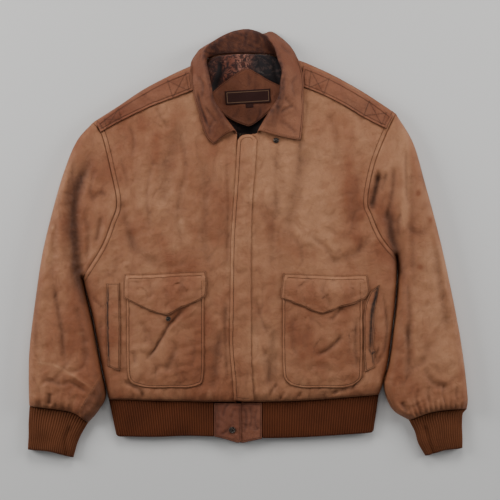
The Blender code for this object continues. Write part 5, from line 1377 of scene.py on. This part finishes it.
# the facing's folds also give painted shade in its creases
facing_sink, facing_crease_shade = fold_parts(facing_plan, fold_curves(FACING_FOLDS))
facing_height = FACING_BASE + 0.5 * np.exp(-((facing_rim - 4.5) / 2.0) ** 2)
facing_height = facing_height + 0.4 * ripples(facing_plan, 30.0, 61)
facing_hide = leather_finish("facing_hide", (0.145, 0.042, 0.018), (0.220, 0.075, 0.035),
                             (0.040, 0.011, 0.007), (FACING_ROW,))
facing = neck_sheet("neck_facing_leather", facing_plan, facing_height - 0.15 * facing_sink, 1.4,
                    leather_marks(facing_plan, shade_and_dark_tone=facing_crease_shade, rim=facing_rim))
lay_sheet(facing, facing_hide, ["neck_facing"], (0.155, 0.10), ["back_lining_cloth"])


def label_finish():
    """Dark brown damask label, left bare, with one thin pale woven line inside its edge."""
    made, shader = new_finish("woven_label_cloth", 0.8, Specular_IOR_Level=0.2)
    rim = spot_value("rim")
    frame_line = 1.0 - (rim - 3.4).maths("ABSOLUTE").step(0.25, 0.75)
    weave = (Link.node("ShaderNodeTexWave", i0=Link.node("ShaderNodeTexCoord", output=3), Scale=420.0)
             * 0.35 + speckle(500.0) * 0.4)
    ground_tone = weave.tint((0.022, 0.007, 0.006), (0.062, 0.022, 0.016))
    Link.feed(shader.inputs["Base Color"], (frame_line * 0.6).tint(ground_tone, (0.30, 0.18, 0.10)))
    return made


woven = label_finish()
label_plan = strip_plan([(-41, 265), (-43, 291)], [(44, 270), (43, 296)], [(-41, 265), (44, 270)],
                        [(-43, 291), (43, 296)], 60, 24)
label_rim = distance(outline_of(label_plan), label_plan)[0]
LABEL_BASE = FACING_BASE + 2.1
label = neck_sheet("label_cloth", label_plan, LABEL_BASE + 0.25 * ripples(label_plan, 34.0, 62), 0.7,
                   {"rim": label_rim})
lay_sheet(label, woven, ["label"], (0.086, 0.027), ["neck_facing_leather"])
tab_plan = strip_plan([(-3, 259.4), (-3.4, 266.9)], [(11, 260.4), (10.6, 267.4)], [(-3, 259.4), (11, 260.4)],
                      [(-3.4, 266.9), (10.6, 267.4)], 14, 10)
size_tab = neck_sheet("size_tab_cloth", tab_plan, LABEL_BASE, 0.5,
                      {"rim": np.full(tab_plan.shape[:-1], 9.0)})
lay_sheet(size_tab, woven, ["size_tab"], (0.014, 0.010), ["neck_facing_leather"])

# Collar: a shirt collar of two layers of hide. The stand goes up from the neck seam, the leaf
# turns over it and lies on the fronts and straps, and the fall at the back neck is tucked under.

COLLAR = [
    ((-20, 208, 34), (-26, 214, 39), (-46, 203, 40), (-64, 188, 37)),
    ((-30, 219, 33), (-36, 228, 45), (-58, 217, 44), (-77, 202, 37)),
    ((-51, 241, 33), (-50, 250, 49), (-70, 240, 46), (-86, 227, 37)),
    ((-71, 270, 33), (-63, 271, 52), (-80, 264, 47), (-93, 253, 37)),
    ((-81, 300, 32), (-68, 296, 54), (-86, 290, 48), (-101, 280, 36)),
    ((-83, 326, 29), (-75, 329, 52), (-93, 322, 45), (-106, 311, 33)),
    ((-78, 351, 21), (-80, 352, 44), (-96, 349, 34), (-107, 345, 16)),
    ((-70, 357.5, 7), (-78, 370, 28), (-92, 368, 16), (-93, 362, 3)),
    ((-52, 362, 4.4), (-60, 386, 14), (-74, 377, 1.6), (-66, 352, 1.3)),
    ((-16, 363.9, 4.4), (-30, 400, 12), (-33, 385, 1.4), (-28, 345, 1.3)),
    ((6, 363.7, 4.4), (-2, 405, 12), (-4, 388, 1.4), (-4, 342, 1.3)),
    ((28, 363, 4.4), (18, 401, 15), (19, 392, 1.6), (16, 366, 1.3)),
    ((37, 362.6, 4.6), (27, 398, 20), (31, 400, 8), (31, 396, 1.6)),
    ((46, 361.7, 4.8), (37, 391, 26), (45, 400, 13), (47, 405, 3)),
    ((64, 358.5, 9), (50, 373, 38), (66, 381, 24), (79, 380, 6)),
    ((71, 356, 21), (58, 347, 46), (78, 352, 36), (94, 354, 18)),
    ((74, 335, 29), (65, 326, 51), (86, 327, 43), (103, 328, 31)),
    ((72, 306, 32), (62, 303, 52), (85, 303, 46), (106, 303, 37)),
    ((66, 279, 33), (58, 276, 50), (83, 278, 45), (105, 280, 38)),
    ((53, 256, 33), (45, 255, 48), (77, 256, 44), (106, 256, 38)),
    ((36, 234, 33), (32, 233, 45), (68, 231, 42), (104, 228, 38)),
    ((19, 208.5, 34), (22, 214, 39), (60, 203, 40), (100, 195, 38)),
]
COLLAR_FOLDS = [([(-96, 290), (-89, 258), (-72, 216)], 6.0, 3.6), ([(52, 242), (68, 252), (89, 262)], 3.0, 3.4),
                ([(-98, 320), (-84, 300), (-86, 270)], 2.6, 4.0), ([(96, 320), (84, 300), (92, 274)], 2.0, 4.0),
                ([(-60, 236), (-70, 222), (-72, 200)], 2.2, 3.4), ([(56, 232), (76, 224), (92, 206)], 1.8, 4.0),
                ([(-80, 262), (-70, 244), (-54, 226)], 2.4, 3.4), ([(66, 280), (78, 266), (96, 250)], 1.6, 4.0),
                ([(60, 380), (72, 366), (84, 362)], 2.4, 4.0), ([(-84, 376), (-82, 360), (-92, 350)], 2.2, 4.0)]
STAND_FOLDS = [([(30, 398), (40, 382), (54, 352)], 6.0, 5.0), ([(-72, 376), (-58, 370), (-66, 356)], 3.0, 4.0),
               ([(-30, 396), (-36, 380), (-30, 368)], 2.4, 3.4), ([(0, 398), (-6, 384), (2, 368)], 2.0, 3.4),
               ([(-90, 362), (-30, 366), (40, 366)], 3.0, 3.0), ([(8, 406), (24, 400), (38, 386)], 7.0, 6.0)]


# the collar's grid: the column at which the leaf begins, the length its long way is taken for,
# and the height under which the fall counts as tucked beneath the back of the neck
ROLL, COLLAR_RUN, TUCKED = 18, 700.0, 12
COLLAR_THICKNESS, COLLAR_ROW = 2.0, 3.0


def collar_normals(grid):
    """Normals, turned so that those on the leaf of the collar's first rows point up."""
    normals = grid_normals(grid)
    return normals * np.sign(normals[:20, 30, 2].mean())


def collar_leather(tree):
    """Stand, roll and leaf as one shell through the stations, lifted clear of what lies below."""
    stations = []
    for neck, roll, leaf, edge in np.array(COLLAR, dtype=float):
        outward = unit((leaf - roll) * np.array([1, 1, 0]))
        stand = 0.5 * (neck + roll) - outward * 2.0
        start = roll + 0.2 * (leaf - roll) + np.array([0, 0, 0.12]) * (leaf[2] > TUCKED) * roll[2]
        if leaf[2] < 5:
            start = roll + np.array([0, 3.0, -5.5])
        stations.append([neck, stand, roll, start, leaf, edge])
    long_way = [curve_through(line, 9) for line in np.array(stations).transpose(1, 0, 2)]
    steps = np.concatenate([np.linspace(0, 0.3, 10)[:-1], np.linspace(0.3, 0.46, 9)[:-1],
                            np.linspace(0.46, 1, 24)])
    columns = np.arange(len(steps))
    rows = [spread(curve_through(station, 10), steps) for station in np.array(long_way).transpose(1, 0, 2)]
    grid = np.array(rows)
    lifted = np.zeros(grid.shape[:2])
    for j, i in np.ndindex(grid.shape[:2]):
        x, y, z = grid[j, i]
        if 0 < i < ROLL or z < TUCKED:
            continue
        found = [tree.ray_cast(Vector((x + a, y + b, 90.0)), Vector((0, 0, -1)), 100.0)[0]
                 for a, b in ((0, 0), (4, 0), (-4, 0), (0, 4), (0, -4))]
        heights = [hit.z for hit in found if hit is not None]
        if heights:
            need = max(heights) + (1.8 if i == 0 else LEATHER / 2 + LAY_GAP)
            lifted[j, i] = max(need - z, 0.0) if i else need - z
    for _ in range(3):
        lifted[:, ROLL:] = np.maximum(lifted, neighbour_mean(lifted))[:, ROLL:]
    grid[..., 2] += lifted
    normals = collar_normals(grid)
    plan = grid[..., :2]
    long_run = np.linspace(0, 1, len(grid))[:, None] * COLLAR_RUN
    to_end = np.minimum(long_run, COLLAR_RUN - long_run)
    cross_run = np.array([lengths(row) for row in grid])
    rim = np.minimum(cross_run[:, -1:] - cross_run, to_end)
    sink, shade_and_dark_tone = fold_parts(plan, fold_curves(COLLAR_FOLDS))
    leaf_share = np.where(columns > ROLL, 1.0, 0.0)[None] * ease(rim / 12.0)
    low = grid[..., 2] < TUCKED
    sink = np.where(low, 0.0, sink) * leaf_share
    puff = np.where(low, 0.0, 0.4 * np.exp(-((rim - 5.2) / 2.2) ** 2) * leaf_share)
    uneven = np.where(low, 0.0, 0.35 * ripples(plan, 28.0, 71) * leaf_share)
    shaped = grid + normals * (puff - sink * 0.6 + uneven)[..., None]
    inner_face = ease((ROLL + 1 - columns) / 5.0)[None] * ease(to_end / 90.0)
    # painted shade in the creases of the leaf and the stand, with the stand's inner face a darker tone
    stand_crease_shade = fold_parts(plan, fold_curves(STAND_FOLDS))[1]
    stand_crease_shade = stand_crease_shade * (1 - leaf_share * (plan[..., 1] < 380))
    inner_face = inner_face * (0.66 + 0.24 * ripples(plan, 13.0, 73))
    marks = leather_marks(plan, shade_and_dark_tone=np.clip(shade_and_dark_tone * leaf_share + stand_crease_shade + inner_face, 0, 1), rim=rim)
    marks["rim"] = np.where(columns[None] < ROLL, NO_SEAM, marks["rim"])
    marks["pale"] = (marks["pale"] - 0.45 * ease((20.0 - plan[..., 0]) / 60.0)
                     - 1.0 * ease((plan[..., 1] - 305.0) / 50.0))
    thick = (COLLAR_THICKNESS * (0.55 + 0.45 * round_rise(rim, 1.6)))[..., None]
    return wall("collar_leather", shaped + normals * thick / 2, normals, thick, marks=marks)


collar = collar_leather(tree_of(*fronts.values(), *straps.values()))
collar_hide = leather_finish("collar_hide", (0.180, 0.058, 0.027), (0.320, 0.130, 0.066),
                             (0.045, 0.013, 0.008), (COLLAR_ROW,))
lay_sheet(collar, collar_hide, ["collar"], (0.56, 0.080),
          ["front_right_leather", "front_left_leather"])

# Press studs: small blackened brass caps with a raised ring, worn bright on the rim.
# One closes the hem tabs, one sits under the collar and one shows on the right pocket.


def stud(name, node, radius, height, below):
    """A turned cap where the solid's stud is, set on the piece below it."""
    low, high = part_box(node)
    x, y = 500.0 * (low.x + high.x) + SHIFT[0], 500.0 * (low.y + high.y) + SHIFT[1]
    tree = tree_of(below)
    round_it = [(x + radius * math.cos(a), y + radius * math.sin(a)) for a in np.arange(12) * math.pi / 6]
    found = [tree.ray_cast(Vector((*spot, 120.0)), Vector((0, 0, -1)))[0] for spot in round_it]
    z = max(hit.z for hit in found if hit is not None) + 0.2
    sides = 48
    profile = [(radius * 0.96, -0.6), (radius, 0.0), (radius, height * 0.5), (radius * 0.95, height * 0.85),
               (radius * 0.86, height), (radius * 0.76, height * 0.9), (radius * 0.7, height * 0.55),
               (radius * 0.55, height * 0.5), (radius * 0.45, height * 0.72), (radius * 0.2, height * 0.82)]
    turn = 2 * math.pi * np.arange(sides) / sides
    rings = np.array([[(x + r * math.cos(a), y + r * math.sin(a), z + h) for a in turn] for r, h in profile])
    points = np.vstack([rings.reshape(-1, 3), [(x, y, z - 0.6), (x, y, z + height * 0.84)]])
    faces, last = [], len(profile) - 1
    for level in range(last):
        here, above = level * sides, (level + 1) * sides
        for k in range(sides):
            n = (k + 1) % sides
            faces.append((here + k, here + n, above + n, above + k))
    for k in range(0, sides, 2):
        n, m = (k + 1) % sides, (k + 2) % sides
        faces.append((len(points) - 2, m, n, k))
        faces.append((len(points) - 1, last * sides + k, last * sides + n, last * sides + m))
    made = closed_mesh(name, points, faces)
    made.data.materials.append(stud_metal)
    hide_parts(node)
    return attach(made, "root")


def stud_finish():
    made, shader = new_finish("blackened_stud", 0.34, Metallic=0.9)
    worn = speckle(380.0, 3.0).step(0.48, 0.66)
    Link.feed(shader.inputs["Base Color"], (worn * 0.5).tint((0.035, 0.028, 0.025), (0.30, 0.25, 0.20)))
    return made


stud_metal = stud_finish()
stud("hem_stud", "snap_hem", 6.2, 2.4, tabs["right"])
stud("collar_stud", "snap_collar", 5.2, 2.0, fronts["left"])
stud("pocket_stud", "snap_pocket_right", 4.6, 1.8, pieces["pocket_right_leather"])

# Topstitching: brown thread, in single or double rows a few millimetres in from each sewn edge.
# It follows the armholes, straps, pockets, flaps, wind flap, tabs and collar.

PIECE_NAMES = [name for name in pieces if name.endswith("_leather") and name != "back_leather"]
top_tree = tree_of(*[pieces[name] for name in PIECE_NAMES if name != "collar_leather"])


def on_top(line, tree=top_tree, lift=0.05):
    """A plan line dropped onto the leather below it."""
    found = []
    for x, y in at(line, np.arange(0.0, lengths(line)[-1], 2.0)):
        hit = tree.ray_cast(Vector((x, y, 120.0)), Vector((0, 0, -1)))[0]
        if hit is not None:
            found.append((x, y, hit.z + lift))
    return np.array(found)


def shifted(line, gap, toward):
    """A plan line moved sideways, toward a point."""
    return line + plan_normals(line, toward) * gap


def inset(plan, gap):
    """Lines a set distance inside a piece's bottom, left, top and right edge, in that order."""
    edge = outline_of(plan)
    rows, cols = plan.shape[:2]
    centre = plan.reshape(-1, 2).mean(axis=0)
    sides, corners = [], [0, cols - 1, cols + rows - 2, 2 * cols + rows - 3, len(edge) - 1]
    for a, b in zip(corners[:-1], corners[1:]):
        part = edge[a:b + 1]
        if len(part) > 2:
            moved = shifted(part, gap, centre)
            run = lengths(moved)
            keep = (run > gap) & (run < run[-1] - gap)
            sides.append(moved[keep])
    return sides


seam_rows = []
for side in ("right", "left"):
    pocket_lines, strap_lines = inset(pocket_plans[side], POCKET_ROW), inset(strap_plans[side], STRAP_ROW)
    seam_rows.append(shifted(ARMHOLES[side], ARMHOLE_ROW, (0.0, 100.0)))
    seam_rows += pocket_lines[0:2] + pocket_lines[3:4]
    seam_rows += inset(flap_plans[side], FLAP_ROWS[0]) + inset(flap_plans[side], FLAP_ROWS[1])[2:3]
    seam_rows += strap_lines[0:1] + strap_lines[2:3]
    seam_rows += [curve_through(line, 6) for line in strap_seams[side]]
    seam_rows.append(inset(welt_plans[side], WELT_ROW)[1 if side == "right" else 3])
seam_rows.append(shifted(curve_through(FLAP_EDGE), WIND_FLAP_ROW, (100.0, 0.0)))
for ends, toward in (([(-63, -304), (-63, -362)], (0, -330)), ([(-12.5, -306), (-12.5, -372)], (-60, -330)),
                     ([(27.6, -304), (27.6, -364)], (0, -330))):
    seam_rows.append(shifted(curve_through(ends, 6), TAB_ROW, toward))
seam_rows += [curve_through(line, 6) for line in ([(-62, -304), (-14, -305)], [(-9, -304), (26, -304)],
                                                  [(-61, -362), (-40, -366), (-15, -371)],
                                                  [(-9, -372), (25, -366)])]
front_hem = shifted(HEM, 4.0, (0.0, 100.0))
seam_rows += [front_hem[front_hem[:, 0] < -34], front_hem[front_hem[:, 0] > 14]]
thread = plain_finish("brown_thread", (0.110, 0.045, 0.024), 0.7, 0.0, 0.3, 900.0)
collar_tree = tree_of(collar)
collar_run = np.array([c[3][:2] for c in COLLAR], dtype=float)
collar_inner = np.array([c[2][:2] for c in COLLAR], dtype=float)
collar_rows = []
for part in (slice(0, 7), slice(15, 22)):
    edge_line, mid_line = curve_through(collar_run[part]), curve_through(collar_inner[part])
    toward = unit(mid_line - edge_line)
    collar_rows.append(edge_line + toward * COLLAR_ROW)
collar_rows.append(curve_through([(-62, 193), (-46, 207), (-30, 217)], 8))
collar_rows.append(curve_through([(97, 201), (62, 208), (30, 217)], 8))
stitch_lines = [on_top(row) for row in seam_rows] + [on_top(row, collar_tree) for row in collar_rows]
stitch_lines = [line for line in stitch_lines if len(line) > 2]
stitches = repeat_along("topstitching", stitch_lines, 0.0033, (0.0027, 0.0009, 0.0007), thread)
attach(stitches, "root")

# The floor, light and camera: a plain pale surface, broad soft light from both sides and above,
# and the camera straight overhead as in the photograph.

bpy.ops.mesh.primitive_plane_add(size=8.0, location=(0, 0, -0.0004))
floor = bpy.context.object
floor.name = "floor"
paper, paper_shader = new_finish("pale_floor", 0.85)
paper_shader.inputs["Base Color"].default_value = (0.72, 0.71, 0.69, 1.0)
floor.data.materials.append(paper)


def soft_light(name, place, size, power, aim=(0.0, 0.0, 0.0)):
    data = bpy.data.lights.new(name, "AREA")
    data.shape = "RECTANGLE"
    data.size, data.size_y, data.energy = size[0], size[1], power
    lamp = bpy.data.objects.new(name, data)
    lamp.location = place
    lamp.rotation_euler = (Vector(aim) - Vector(place)).to_track_quat("-Z", "Y").to_euler()
    bpy.context.scene.collection.objects.link(lamp)


soft_light("left_window", (-1.9, 0.6, 1.1), (0.9, 1.3), 32.0)
soft_light("right_window", (1.9, 0.5, 1.0), (0.9, 1.3), 24.0)
soft_light("top_window", (0.1, 2.0, 1.5), (1.6, 0.9), 28.0)
world = bpy.data.worlds.new("studio")
world.use_nodes = True
world.node_tree.nodes["Background"].inputs["Color"].default_value = (0.95, 0.97, 1.0, 1.0)
world.node_tree.nodes["Background"].inputs["Strength"].default_value = 0.22
bpy.context.scene.world = world

# in metres: the sensor is in millimetres; the photo takes in PHOTO_WIDTH at the height LEVEL
SENSOR, CAMERA_RISE, PHOTO_WIDTH, LEVEL = 36.0, 3.0, 0.95, 0.014
camera_data = bpy.data.cameras.new("overhead_camera")
camera_data.sensor_width = SENSOR
camera_data.lens = SENSOR * CAMERA_RISE / PHOTO_WIDTH
camera = bpy.data.objects.new("overhead_camera", camera_data)
middle = (np.array([4.75, -10.8, 0.0]) - SHIFT) * 0.001
camera.location = (middle[0], middle[1], CAMERA_RISE + LEVEL)
bpy.context.scene.collection.objects.link(camera)
bpy.context.scene.camera = camera
